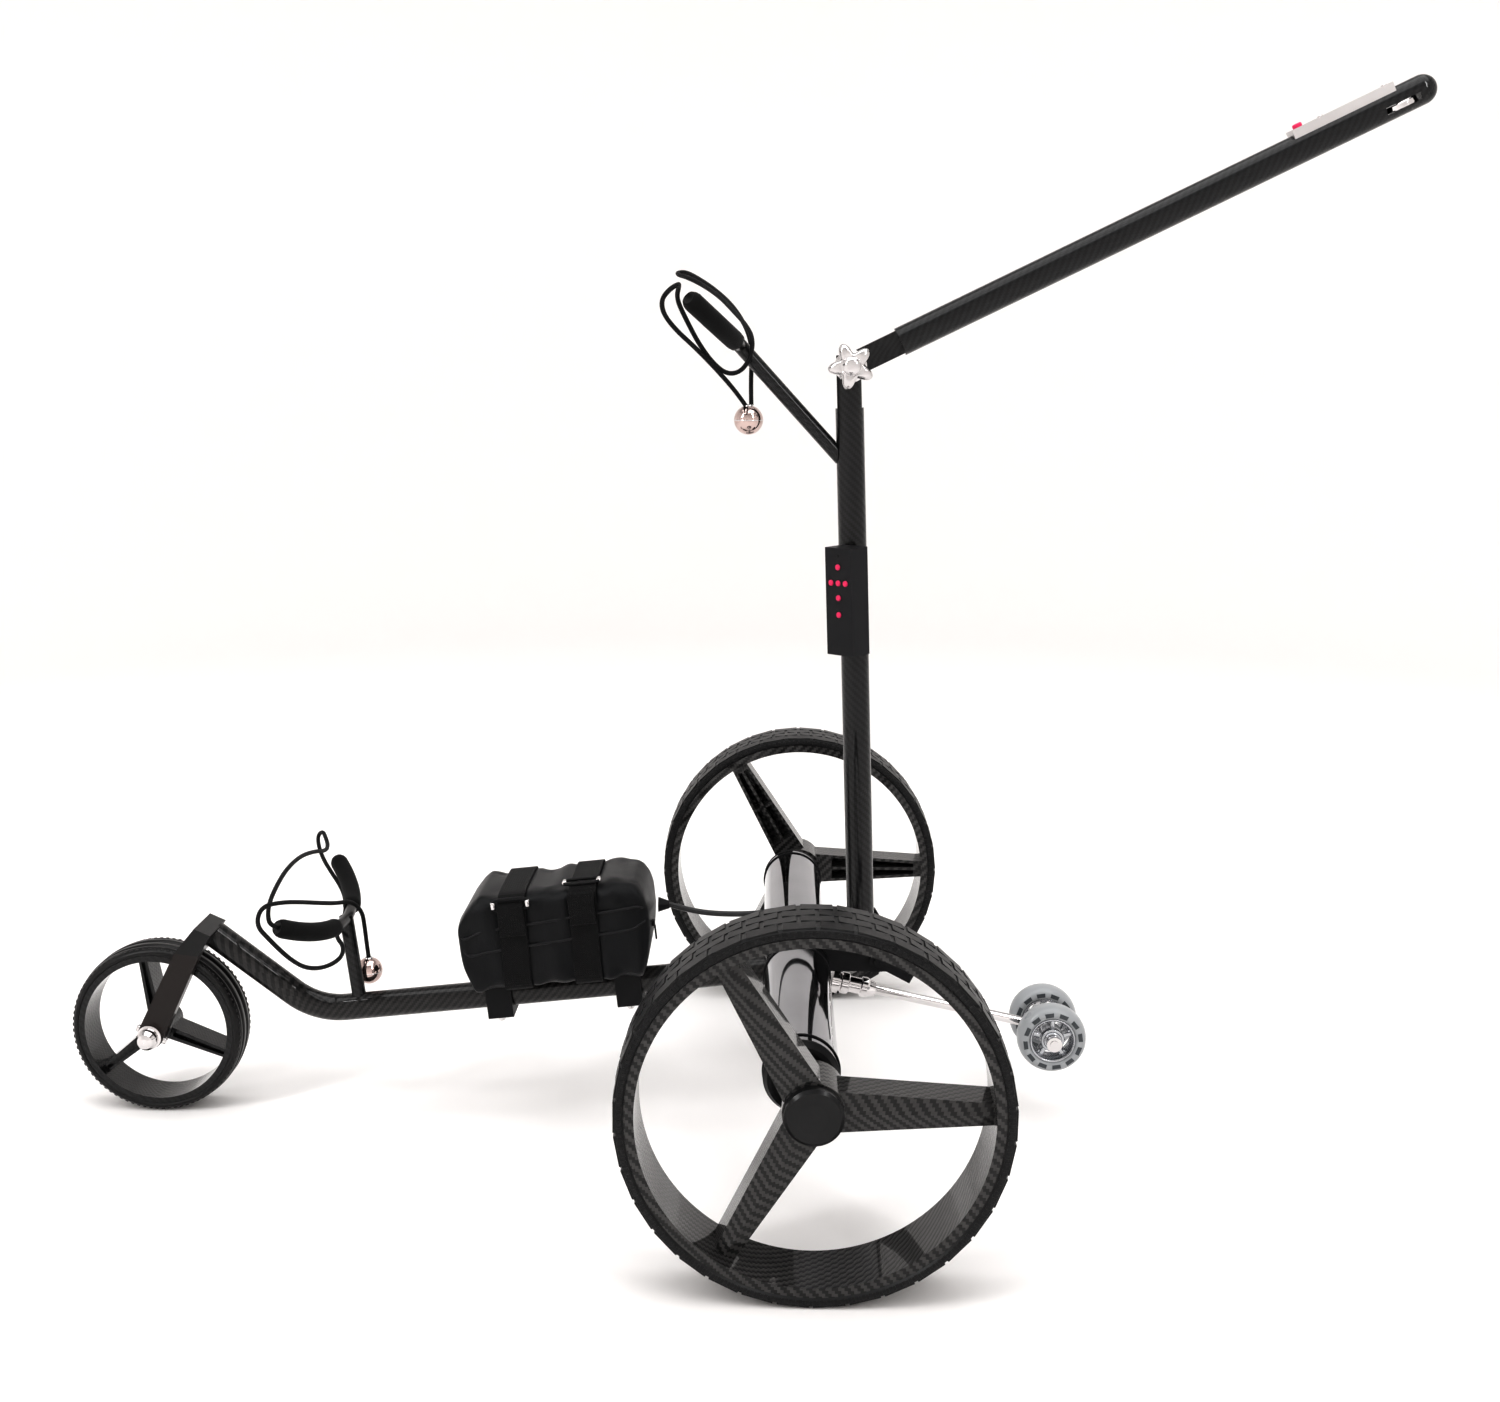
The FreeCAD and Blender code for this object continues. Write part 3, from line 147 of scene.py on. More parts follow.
def addBlock(points, faces, place, turn, low, high, inset=0.0):
    # a block standing on a round, over the angles in turn
    # low is its foot radius and its two sides; high is its top radius, and how far the top drops past a side
    # the top is drawn in by inset
    start = len(points)
    for radius, draw in ((low[0], 0.0), (high[0], inset)):
        for angle, side in ((turn[0], low[1]), (turn[1], low[1]), (turn[1], low[2]), (turn[0], low[2])):
            a = angle + (draw / radius if angle == turn[0] else -draw / radius)
            z = side + (draw if side == low[1] else -draw)
            r = radius - (high[1] if abs(side) > high[2] else 0)
            points.append(place @ mm(r * math.cos(a), r * math.sin(a), z))
    faces += [tuple(start + k for k in loop) for loop in boxLoops]


def addBox(points, faces, place, low, high):
    start = len(points)
    for z in (low[2], high[2]):
        corners = ((low[0], low[1]), (high[0], low[1]), (high[0], high[1]), (low[0], high[1]))
        points += [place @ mm(x, y, z) for x, y in corners]
    faces += [tuple(start + k for k in loop) for loop in boxLoops]


def bevel(piece, width, segments=2, angle=35):
    edge = piece.modifiers.new("edges", "BEVEL")
    edge.width = width / 1000
    edge.segments = segments
    edge.limit_method = "ANGLE"
    edge.angle_limit = math.radians(angle)
    edge.harden_normals = False


def keep(piece, body, finish, slot, *replaced):
    piece.data.materials.clear()
    piece.data.materials.append(finish)
    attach(piece, body)
    if replaced:
        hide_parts(*replaced)
    return piece


def tubeAlong(name, points, thick, closed=False):
    # a round bar through the points, as mesh
    curve = bpy.data.curves.new(name + "Path", "CURVE")
    curve.dimensions = "3D"
    curve.bevel_depth = thick / 2000
    curve.bevel_resolution = 3
    curve.resolution_u = 6
    line = curve.splines.new("NURBS")
    line.points.add(len(points) - 1)
    for point, place in zip(line.points, points):
        point.co = (*place, 1)
    line.order_u = 3
    line.use_cyclic_u = closed
    line.use_endpoint_u = not closed
    curve.use_fill_caps = not closed
    holder = bpy.data.objects.new(name + "Path", curve)
    scene.collection.objects.link(holder)
    bpy.context.view_layer.update()
    mesh = bpy.data.meshes.new_from_object(holder.evaluated_get(bpy.context.evaluated_depsgraph_get()))
    bpy.data.objects.remove(holder)
    bpy.data.curves.remove(curve)
    mesh.name = name
    piece = bpy.data.objects.new(name, mesh)
    scene.collection.objects.link(piece)
    for face in mesh.polygons:
        face.use_smooth = True
    tidyMesh(piece)
    return piece


# What every finish is built from.
def startFinish(name, **values):
    finish = bpy.data.materials.new(name)
    finish.use_nodes = True
    shader = finish.node_tree.nodes["Principled BSDF"]
    for socket, value in values.items():
        shader.inputs[socket.replace("_", " ")].default_value = value
    return finish, finish.node_tree, shader


def addNode(tree, kind, inputs=None, **settings):
    made = tree.nodes.new(kind)
    for name, value in settings.items():
        setattr(made, name, value)
    for socket, value in (inputs or {}).items():
        if hasattr(value, "links"):
            tree.links.new(value, made.inputs[socket])
        else:
            made.inputs[socket].default_value = value
    return made


def combine(tree, operation, first, second=0.0):
    return addNode(tree, "ShaderNodeMath", {0: first, 1: second}, operation=operation).outputs[0]


def localCoordinates(tree, place):
    back = place.inverted()
    coordinates = addNode(tree, "ShaderNodeTexCoord").outputs["Object"]
    mapping = addNode(tree, "ShaderNodeMapping", {"Vector": coordinates, "Location": back.to_translation(),
                                                  "Rotation": back.to_euler()})
    return mapping.outputs[0]


def noiseAt(tree, vector, scale, detail=3.0, rough=0.5):
    return addNode(tree, "ShaderNodeTexNoise", {"Vector": vector, "Scale": scale, "Detail": detail,
                                                "Roughness": rough}).outputs[0]


def ramp(tree, value, low, high):
    made = addNode(tree, "ShaderNodeMapRange", {"Value": value, "To Min": low, "To Max": high})
    return made.outputs[0]


def mixColours(tree, share, first, second):
    made = addNode(tree, "ShaderNodeMix", {"Factor": share}, data_type="RGBA")
    made.inputs[6].default_value = (*first, 1)
    made.inputs[7].default_value = (*second, 1)
    return made.outputs[2]


def addBump(tree, shader, height, strength, distance):
    made = addNode(tree, "ShaderNodeBump", {"Height": height, "Strength": strength, "Distance": distance})
    tree.links.new(made.outputs[0], shader.inputs["Normal"])


carbon = {"cell": 1.8, "dark": (0.003, 0.003, 0.0032), "light": (0.011, 0.011, 0.012), "bump": 0.3,
          "coat": 0.85}


def carbonFinish(name, place, radius=None, light=None, cell=None):
    # 2 by 2 twill under clear lacquer, wrapped round a tube if radius is given, else laid flat across the wheel
    finish, tree, shader = startFinish(name, Roughness=0.42, Coat_Weight=carbon["coat"], Coat_Roughness=0.03,
                                       Specular_IOR_Level=0.12, Coat_IOR=1.42)
    local = localCoordinates(tree, place)
    split = addNode(tree, "ShaderNodeSeparateXYZ", {0: local}).outputs
    if radius:
        across = combine(tree, "MULTIPLY", combine(tree, "ARCTAN2", split[1], split[0]), radius)
        along = combine(tree, "MULTIPLY", split[2], 1000.0)
    else:
        lean = combine(tree, "MULTIPLY", split[2], 700.0)
        across = combine(tree, "MULTIPLY_ADD", split[0], 1000.0)
        tree.links.new(lean, across.node.inputs[2])
        along = combine(tree, "MULTIPLY_ADD", split[1], 1000.0)
        tree.links.new(lean, along.node.inputs[2])
    step = cell or carbon["cell"]
    u = combine(tree, "DIVIDE", across, step)
    v = combine(tree, "DIVIDE", along, step)
    steps = combine(tree, "ADD", combine(tree, "FLOOR", u), combine(tree, "FLOOR", v))
    over = combine(tree, "LESS_THAN", combine(tree, "FLOORED_MODULO", steps, 4.0), 1.5)
    warp = combine(tree, "SINE", combine(tree, "MULTIPLY", combine(tree, "FRACT", u), math.pi))
    weft = combine(tree, "SINE", combine(tree, "MULTIPLY", combine(tree, "FRACT", v), math.pi))
    swell = addNode(tree, "ShaderNodeMix", {0: over, 2: weft, 3: warp}).outputs[0]
    fleck = noiseAt(tree, local, 220.0, 2.0)
    share = combine(tree, "MULTIPLY", combine(tree, "MULTIPLY_ADD", over, 0.75), ramp(tree, fleck, 0.5, 1.4))
    share.node.inputs[0].links[0].from_node.inputs[2].default_value = 0.1
    colour = mixColours(tree, share, carbon["dark"], light or carbon["light"])
    tree.links.new(colour, shader.inputs["Base Color"])
    tree.links.new(ramp(tree, noiseAt(tree, local, 35.0), 0.32, 0.5), shader.inputs["Roughness"])
    addBump(tree, shader, swell, carbon["bump"], 0.0004)
    return finish


def metalFinish(name, colour, rough, streak=(1, 1, 1), scale=90.0, bump=0.05, wear=0.05):
    finish, tree, shader = startFinish(name, Base_Color=(*colour, 1), Metallic=1.0)
    coordinates = addNode(tree, "ShaderNodeTexCoord").outputs["Object"]
    local = addNode(tree, "ShaderNodeMapping", {"Vector": coordinates, "Scale": streak}).outputs[0]
    grain = noiseAt(tree, local, scale, 5.0, 0.6)
    tree.links.new(ramp(tree, grain, rough, rough + 2 * wear), shader.inputs["Roughness"])
    dull = tuple(0.82 * c for c in colour)
    tree.links.new(mixColours(tree, ramp(tree, noiseAt(tree, coordinates, 24.0), -0.4, 1.0), colour, dull),
                   shader.inputs["Base Color"])
    addBump(tree, shader, grain, bump, 0.0002)
    return finish


def mouldedFinish(name, colour, rough, grain=900.0, bump=0.15, spread=1.7, coat=0.0, specular=0.35, sheen=0.0):
    # moulded plastic or rubber: fine grain, with dust and handling marks that change its colour a little
    finish, tree, shader = startFinish(name, Coat_Weight=coat, Coat_Roughness=0.15, Specular_IOR_Level=specular,
                                       Sheen_Weight=sheen, Sheen_Roughness=0.5)
    coordinates = addNode(tree, "ShaderNodeTexCoord").outputs["Object"]
    patch = noiseAt(tree, coordinates, 26.0, 4.0, 0.6)
    lighter = tuple(min(1.0, spread * c + 0.002) for c in colour)
    tree.links.new(mixColours(tree, patch, colour, lighter), shader.inputs["Base Color"])
    tree.links.new(ramp(tree, patch, rough - 0.08, rough + 0.1), shader.inputs["Roughness"])
    addBump(tree, shader, noiseAt(tree, coordinates, grain, 2.0), bump, 0.0003)
    return finish


def wovenFinish(name, place, colour, lighter, pitch, rough, bump, sheen=0.25, specular=0.3):
    # plain weave: two sets of threads that pass over each other in turn
    finish, tree, shader = startFinish(name, Sheen_Weight=sheen, Sheen_Roughness=0.4,
                                       Specular_IOR_Level=specular)
    local = localCoordinates(tree, place)
    split = addNode(tree, "ShaderNodeSeparateXYZ", {0: local}).outputs
    waves = []
    for axis in split[:3]:
        waves.append(combine(tree, "SINE", combine(tree, "MULTIPLY", axis, 2000 * math.pi / pitch)))
    first = combine(tree, "ADD", waves[0], waves[1])
    second = combine(tree, "ADD", waves[1], waves[2])
    weave = combine(tree, "MULTIPLY", first, second)
    worn = noiseAt(tree, local, 30.0, 4.0, 0.6)
    share = combine(tree, "ADD", combine(tree, "MULTIPLY", weave, 0.12), worn)
    tree.links.new(mixColours(tree, share, colour, lighter), shader.inputs["Base Color"])
    tree.links.new(ramp(tree, worn, rough - 0.1, rough + 0.1), shader.inputs["Roughness"])
    fuzz = combine(tree, "MULTIPLY", noiseAt(tree, local, 160.0), 1.5)
    addBump(tree, shader, combine(tree, "ADD", weave, fuzz), bump, 0.0003)
    return finish


def braidFinish(name, colour, pitch=2.2):
    # crossed strands round a cord, from bands that lean both ways
    finish, tree, shader = startFinish(name, Roughness=0.6, Specular_IOR_Level=0.2, Sheen_Weight=0.04,
                                       Sheen_Roughness=0.4)
    coordinates = addNode(tree, "ShaderNodeTexCoord").outputs["Object"]
    height = None
    for lean in ((1, 1, 0.6), (1, -1, -0.6)):
        turned = addNode(tree, "ShaderNodeVectorMath", {0: coordinates, 1: lean}, operation="DOT_PRODUCT")
        wave = combine(tree, "SINE", combine(tree, "MULTIPLY", turned.outputs["Value"], 2000 * math.pi / pitch))
        height = combine(tree, "MULTIPLY", height, wave) if height else wave
    pale = tuple(2.6 * c for c in colour)
    share = combine(tree, "MULTIPLY_ADD", height, 0.4)
    tree.links.new(mixColours(tree, share, colour, pale), shader.inputs["Base Color"])
    addBump(tree, shader, height, 0.5, 0.0003)
    return finish


finishes = {
    "wheelCarbonLeft": carbonFinish("wheelCarbonLeft", leftWheel, light=(0.06, 0.058, 0.057), cell=2.4),
    "wheelCarbonRight": carbonFinish("wheelCarbonRight", rightWheel, light=(0.06, 0.058, 0.057), cell=2.4),
    "frontWheelCarbon": carbonFinish("frontWheelCarbon", frontWheel),
    "chassisCarbon": carbonFinish("chassisCarbon", seat(0, 0, 145.9, tilt(-6.1)) @ alongTube,
                                  12.5, (0.03, 0.028, 0.027)),
    "mastCarbon": carbonFinish("mastCarbon", mastFrame, 12.5),
    "gripCarbon": carbonFinish("gripCarbon", gripFrame @ alongTube, 12.5),
    "strutCarbon": carbonFinish("strutCarbon", seat(36.6, 0, 607, tilt(-42)), 6.5),
    "postCarbon": carbonFinish("postCarbon", seat(-420, 0, 100, tilt(-7)), 6.5),
    "saddleCarbon": mouldedFinish("saddleCoat", (0.004, 0.004, 0.0045), 0.3, coat=0.3, specular=0.2),
    "forkCoat": mouldedFinish("forkCoat", (0.012, 0.0085, 0.0075), 0.34, coat=0.3, spread=1.5, specular=0.2),
    "crownCarbon": mouldedFinish("crownCoat", (0.005, 0.005, 0.0052), 0.32,
                                 coat=0.35, spread=1.6, specular=0.2),
    "chrome": metalFinish("brightChrome", (0.74, 0.72, 0.72), 0.05, scale=140.0),
    "castKnob": metalFinish("castKnob", (0.66, 0.64, 0.64), 0.17, scale=60.0, bump=0.02, wear=0.03),
    "ballChrome": metalFinish("ballChrome", (0.62, 0.5, 0.47), 0.06, scale=60.0),
    "motorTube": metalFinish("polishedTube", (0.34, 0.34, 0.355), 0.04, (1, 0.05, 1), 260.0, 0.04, 0.02),
    "plate": metalFinish("brushedPlate", (0.62, 0.6, 0.6), 0.24, (1, 14, 14), 60.0, 0.12, 0.06),
    "castHub": metalFinish("castHub", (0.5, 0.51, 0.53), 0.2, scale=220.0, bump=0.15),
    "motorSteel": metalFinish("motorSteel", (0.4, 0.4, 0.42), 0.3),
    "blackPlastic": mouldedFinish("blackPlastic", (0.0045, 0.0045, 0.005), 0.42, spread=2.2, specular=0.2),
    "capPlastic": mouldedFinish("capPlastic", (0.006, 0.006, 0.0064), 0.3,
                                grain=600.0, bump=0.08, coat=0.2, specular=0.25),
    "casePlastic": mouldedFinish("casePlastic", (0.012, 0.012, 0.0135), 0.42,
                                 grain=1200.0, bump=0.2, spread=1.35, specular=0.2),
    "keyRubber": mouldedFinish("keyRubber", (0.62, 0.03, 0.12), 0.4, bump=0.05, spread=1.15),
    "tread": mouldedFinish("treadRubber", (0.0045, 0.0045, 0.0048), 0.34,
                           grain=420.0, bump=0.25, spread=2.4, specular=0.3),
    "frontRubber": mouldedFinish("frontRubber", (0.0045, 0.0043, 0.0045), 0.3,
                                 grain=480.0, bump=0.25, spread=2.0),
    "softTyre": mouldedFinish("softTyre", (0.3, 0.31, 0.32), 0.3, grain=300.0,
                              bump=0.1, spread=1.25, coat=0.3),
    "cellDark": mouldedFinish("cellDark", (0.05, 0.055, 0.06), 0.4, spread=1.5),
    "foam": mouldedFinish("padFoam", (0.003, 0.003, 0.0031), 0.8,
                          grain=700.0, bump=0.8, spread=3.0, sheen=0.05, specular=0.15),
    "nylon": wovenFinish("bagNylon", batteryFrame, (0.0015, 0.0017, 0.0022),
                         (0.006, 0.0066, 0.008), 1.4, 0.34, 0.22, 0.01, 0.24),
    "webbing": wovenFinish("strapWebbing", batteryFrame, (0.003, 0.003, 0.0032),
                           (0.009, 0.009, 0.0095), 2.2, 0.7, 0.5, 0.06, 0.2),
    "piping": mouldedFinish("pipingVinyl", (0.005, 0.005, 0.006), 0.35, coat=0.15, specular=0.25),
    "cordBraid": braidFinish("cordBraid", (0.004, 0.004, 0.0045)),
    "lead": mouldedFinish("leadRubber", (0.009, 0.009, 0.01), 0.28, grain=500.0, bump=0.05, coat=0.3),
}
print("finishes ready")

room = {"floor": 2.6, "bend": 1.4, "wall": 2.6, "rings": 14, "segments": 96, "paper": (0.93, 0.925, 0.92)}


def makeRoom():
    profile = [(0.0, 0.0), (room["floor"] / 2, 0.0), (room["floor"], 0.0)]
    for k in range(1, room["rings"] + 1):
        a = math.pi / 2 * k / room["rings"]
        profile.append((room["floor"] + room["bend"] * math.sin(a), room["bend"] * (1 - math.cos(a))))
    profile.append((profile[-1][0], profile[-1][1] + room["wall"]))
    outline = [(1000 * r, 1000 * z) for r, z in profile]
    points = spunPoints(outline, room["segments"], Matrix.Translation((0.0, 0.3, 0)))
    count = len(outline)
    faces = []
    for k in range(room["segments"]):
        here, there = k * count, (k + 1) % room["segments"] * count
        faces += [(here + j, there + j, there + j + 1, here + j + 1) for j in range(count - 1)]
    backdrop = meshPiece("backdrop", points, faces)
    paper, tree, shader = startFinish("backdropPaper", Roughness=0.95, Specular_IOR_Level=0.1)
    coordinates = addNode(tree, "ShaderNodeTexCoord").outputs["Object"]
    warm = mixColours(tree, noiseAt(tree, coordinates, 0.8), room["paper"], (0.94, 0.92, 0.91))
    tree.links.new(warm, shader.inputs["Base Color"])
    backdrop.data.materials.append(paper)


lights = {
    "ceiling": {"place": (0.1, -0.3, 3.3), "aim": (0, 0, 0.2), "size": (3.4, 2.8), "power": 66},
    "window": {"place": (-2.3, -1.7, 2.6), "aim": (0, 0, 0.4), "size": (0.35, 2.2), "power": 42},
    "strip": {"place": (1.6, -1.8, 2.3), "aim": (0.1, 0, 0.4), "size": (0.2, 1.8), "power": 20},
}


def makeLights():
    for name, setting in lights.items():
        data = bpy.data.lights.new(name, "AREA")
        data.shape = "RECTANGLE"
        data.size, data.size_y = setting["size"]
        data.energy = setting["power"]
        lamp = bpy.data.objects.new(name, data)
        scene.collection.objects.link(lamp)
        lamp.location = setting["place"]
        aim = Vector(setting["aim"]) - Vector(setting["place"])
        lamp.rotation_euler = aim.to_track_quat("-Z", "Y").to_euler()
    world = bpy.data.worlds.new("studio")
    scene.world = world
    world.use_nodes = True
    world.node_tree.nodes["Background"].inputs["Color"].default_value = (1.0, 0.985, 0.975, 1)
    world.node_tree.nodes["Background"].inputs["Strength"].default_value = 0.62
    scene.view_settings.view_transform = "Standard"
    scene.view_settings.gamma = 0.75


makeCamera()
makeRoom()
makeLights()
print("camera, room and lights ready")

lowerCord = {"length": 0.8167, "thick": 0.004, "points": [
    (-464.4, -105, 213.5), (-469, -110, 217.5), (-471.8, -106.5, 224.5), (-474, -93.5, 232),
    (-474.5, -71, 239), (-474.5, -37, 245.5), (-473, 5, 246), (-471.5, 49, 238), (-469.5, 83, 228.5),
    (-472.5, 103, 228.5), (-478, 116, 232.5), (-483.5, 126.5, 236.5), (-490, 131, 231), (-488, 124, 221.5),
    (-481, 115, 210), (-471.5, 107.5, 199), (-461.5, 97, 190.5), (-453, 82, 184.5), (-446, 60, 179),
    (-442, 35, 175.5), (-441.5, 10, 174), (-438, -9.5, 171.5), (-429, -20.5, 167.5), (-426.5, -35, 162.5),
    (-431, -54, 161.5), (-438, -75, 165), (-445, -93, 172.5), (-450.5, -108, 183.5), (-457, -119, 196),
    (-465, -125.5, 209), (-477, -124.5, 222), (-475, -113.5, 235.5), (-463, -92, 232.5), (-454.5, -62, 223),
    (-446, -32, 212.5), (-437, -8, 204.5), (-428, 10.5, 201), (-420, 19, 188.5), (-418.5, 20.5, 172),
    (-417.5, 21.3, 156), (-416, 21, 141.4)]}
upperCord = {"length": 0.7066, "thick": 0.004, "points": [
    (-56, -1, 662.2), (-64, -9, 674), (-81, -34, 694), (-99, -62, 713), (-112, -82, 725), (-122, -99, 738),
    (-123, -110, 749), (-116, -115, 757), (-109, -109, 761.5), (-109, -97, 761), (-112, -86, 751),
    (-105, -71, 735), (-95, -55, 715), (-83, -38, 698), (-71, -22, 689), (-59, -14, 692), (-51, -13, 705),
    (-49.5, -10, 720), (-56, 1, 732), (-66, 24, 743), (-80, 54, 758), (-97, 82, 770), (-112, 96, 777.5),
    (-120, 106, 780), (-122, 115.5, 782.5), (-114.5, 119, 783.5), (-105, 110, 779), (-88, 92, 768),
    (-69, 62, 751), (-56, 33, 731), (-51, 18, 714), (-51, 11.5, 697), (-51.5, 6, 679), (-51, 1.5, 662.3)]}
batteryLead = {"length": 0.1607, "thick": 0.0052, "points": [
    (-126, 0, 203.5), (-112, -1, 199.6), (-89, -5, 196.8), (-56, -11, 198.2), (-24, -17.5, 203.5),
    (1, -22, 203), (17, -24.6, 197.5), (30, -25.5, 193.2)]}


def makeCord(name, cord, body, node, slot, finish):
    curve = bpy.data.curves.new(name, "CURVE")
    curve.dimensions = "3D"
    curve.resolution_u = 10
    curve.bevel_depth = cord["thick"] / 2
    curve.bevel_resolution = 3
    line = curve.splines.new("NURBS")
    line.points.add(len(cord["points"]) - 1)
    for point, place in zip(line.points, cord["points"]):
        point.co = (*spot(*place), 1)
    line.order_u = 3
    line.use_endpoint_u = True
    curve.use_fill_caps = True
    piece = bpy.data.objects.new(name, curve)
    scene.collection.objects.link(piece)
    keep(piece, body, finish, slot, node)


makeCord("lowerElasticCord", lowerCord, "chassis", "lower_bungee", "elastic", finishes["cordBraid"])
makeCord("upperElasticCord", upperCord, "mast", "upper_bungee", "elastic", finishes["cordBraid"])
makeCord("batteryLead", batteryLead, "chassis", "battery_cable", "cable", finishes["lead"])
print("cords ready")

driveTread = {"radius": 150, "base": 148.9, "half": 30, "seat": 138.4, "flange": 141.1, "seatHalf": 24.8,
              "rows": (-20.4, -6.8, 6.8, 20.4), "blockHalf": 6.2, "count": 34, "share": 0.9, "inset": 0.35,
              "sink": 1.0, "ribs": 170}


def makeDriveTyre(name, place, body, node):
    t = driveTread
    half = t["half"]
    profile = [(t["seat"], -t["seatHalf"]), (t["seat"], t["seatHalf"]), (t["flange"], t["seatHalf"]),
               (t["flange"], half - 2.2), (142.4, half - 0.8), (144.6, half - 0.4), (147.2, half - 1.2),
               (t["base"], half - 4.5), (t["base"], 0), (t["base"], 4.5 - half), (147.2, 1.2 - half),
               (144.6, 0.4 - half), (142.4, 0.8 - half), (t["flange"], 2.2 - half),
               (t["flange"], -t["seatHalf"])]
    points, faces = [], []
    addSpun(points, faces, profile, 192, place)
    pitch = 2 * math.pi / t["count"]
    for number, row in enumerate(t["rows"]):
        edge = t["blockHalf"] + (0.6 if abs(row) > 10 else 0)
        middle = row + (0.6 if row > 10 else -0.6 if row < -10 else 0)
        for k in range(t["count"]):
            start = (k + 0.5 * (number % 2)) * pitch
            addBlock(points, faces, place, (start, start + t["share"] * pitch),
                     (t["base"] - t["sink"], middle - edge, middle + edge),
                     (t["radius"], 0.6, half - 5), t["inset"])
    ribPitch = 2 * math.pi / t["ribs"]
    for side in (-1, 1):
        for k in range(t["ribs"]):
            low, high = sorted((side * (half - 1.6), side * (half - 0.02)))
            addBlock(points, faces, place, (k * ribPitch, (k + 0.5) * ribPitch),
                     (142.4, low, high), (146.4, 0, half), 0.2)
    tyre = meshPiece(name, points, faces, smooth=False)
    bevel(tyre, 0.2, 1, 50)
    keep(tyre, body, finishes["tread"], "tread", node)


makeDriveTyre("driveTyreLeft", leftWheel, "drive_wheel_left", "drive_tyre_left")
makeDriveTyre("driveTyreRight", rightWheel, "drive_wheel_right", "drive_tyre_right")

frontTread = {"radius": 81.4, "half": 20, "groove": 1.3, "ribs": 84}


def makeFrontTyre():
    t = frontTread
    half, top, low = t["half"], t["radius"], t["radius"] - t["groove"]
    upper = [(71.7, 15.8), (73.7, 15.8), (73.7, half - 1.2), (75.6, half - 0.2), (78.6, half - 2.6),
             (80.5, half - 7), (80.7, 11.2), (80.7 - t["groove"], 10.6), (80.7 - t["groove"], 9.4), (81.1, 8.8),
             (top, 6), (top, 2.2), (low, 1.6), (low, 0)]
    profile = upper + [(r, -z) for r, z in reversed(upper[:-1])]
    points, faces = [], []
    addSpun(points, faces, profile, 160, frontWheel)
    pitch = 2 * math.pi / t["ribs"]
    for side in (-1, 1):
        for k in range(t["ribs"]):
            low, high = sorted((side * (half - 5.4), side * (half - 2.9)))
            addBlock(points, faces, frontWheel, (k * pitch, (k + 0.55) * pitch),
                     (77.5, low, high), (79.8, 0, half), 0.3)
    keep(meshPiece("frontTyre", points, faces), "front_wheel", finishes["frontRubber"], "tread", "front_tyre")


makeFrontTyre()
print("tyres ready")

guideWheel = {"cells": 12, "spokes": 5, "half": 12}


def makeGuideWheel(side, word):
    place = seat(227, side * 25, 87.5, toLeft)
    body = f"stabiliser_wheel_{word}"
    ring = [(21.1, -10), (22.5, -11.6), (25, -11.9), (28.4, -11), (30.6, -7), (31.4, -3), (31.4, 3), (30.6, 7),
            (28.4, 11), (25, 11.9), (22.5, 11.6), (21.1, 10)]
    softRing = spun(f"softRing_{word}", ring, 72, place)
    keep(softRing, body, finishes["softTyre"], "soft_tyre", f"anti_tip_tyre_{word}")
    points, faces = [], []
    pitch = 2 * math.pi / guideWheel["cells"]
    for face in (-1, 1):
        for k in range(guideWheel["cells"]):
            low, high = sorted((face * 10.2, face * 12.0))
            addBlock(points, faces, place, (k * pitch, (k + 0.6) * pitch),
                     (23.4, low, high), (27.2, 0, guideWheel["half"]), 0.2)
    keep(meshPiece(f"ringCells_{word}", points, faces, smooth=False), body, finishes["cellDark"], "soft_tyre")
    points, faces = [], []
    rim = [(18.6, -9.5), (20, -10.6), (21.05, -10.2), (21.05, 10.2), (20, 10.6), (18.6, 9.5), (17.8, 4),
           (17.8, -4)]
    boss = [(4.06, -11.6), (6.4, -12), (8.2, -11), (8.2, 11), (6.4, 12), (4.06, 11.6)]
    bearing = [(8.1, -10.2), (10.6, -9.6), (10.6, 9.6), (8.1, 10.2)]
    for profile, segments in ((rim, 72), (boss, 48), (bearing, 48)):
        addSpun(points, faces, profile, segments, place)
    for k in range(guideWheel["spokes"]):
        turn = Matrix.Rotation(2 * math.pi * (k + 0.25) / guideWheel["spokes"], 4, "Z")
        addBox(points, faces, place @ turn, (9.6, -1.7, -6.6), (18.6, 1.7, 6.6))
        addBox(points, faces, place @ turn, (15.4, -3.2, -4.6), (18.9, 3.2, 4.6))
    hub = meshPiece(f"spokedHub_{word}", points, faces)
    bevel(hub, 0.6)
    keep(hub, body, finishes["castHub"], "alloy", f"anti_tip_hub_{word}")


makeGuideWheel(-1, "left")
makeGuideWheel(1, "right")
print("stabiliser wheels ready")

bag = {"square": 8, "around": 96, "wrinkle": 2.4, "rows": [
    (-88, 58, 78, 43), (-86, 45, 86, 46.5), (-82, 29, 93.5, 48), (-78.5, 18.5, 98.5, 48.7),
    (-72, 17, 104, 49), (-65, 17, 107.4, 49), (0, 17, 108, 49), (72, 17, 108.4, 49),
    (76.5, 19, 107.6, 48.8), (81, 31, 104, 48), (85.5, 46, 96, 46), (88, 60, 84, 42)]}
strapAt = {"front": -36, "rear": 29, "half": 12.5, "thick": 1.5}


def bagSection(x):
    rows = bag["rows"]
    for before, after in zip(rows, rows[1:]):
        if x <= after[0] or after is rows[-1]:
            share = (x - before[0]) / (after[0] - before[0])
            share = min(1.0, max(0.0, share))
            return [b + (a - b) * share for b, a in zip(before[1:], after[1:])]


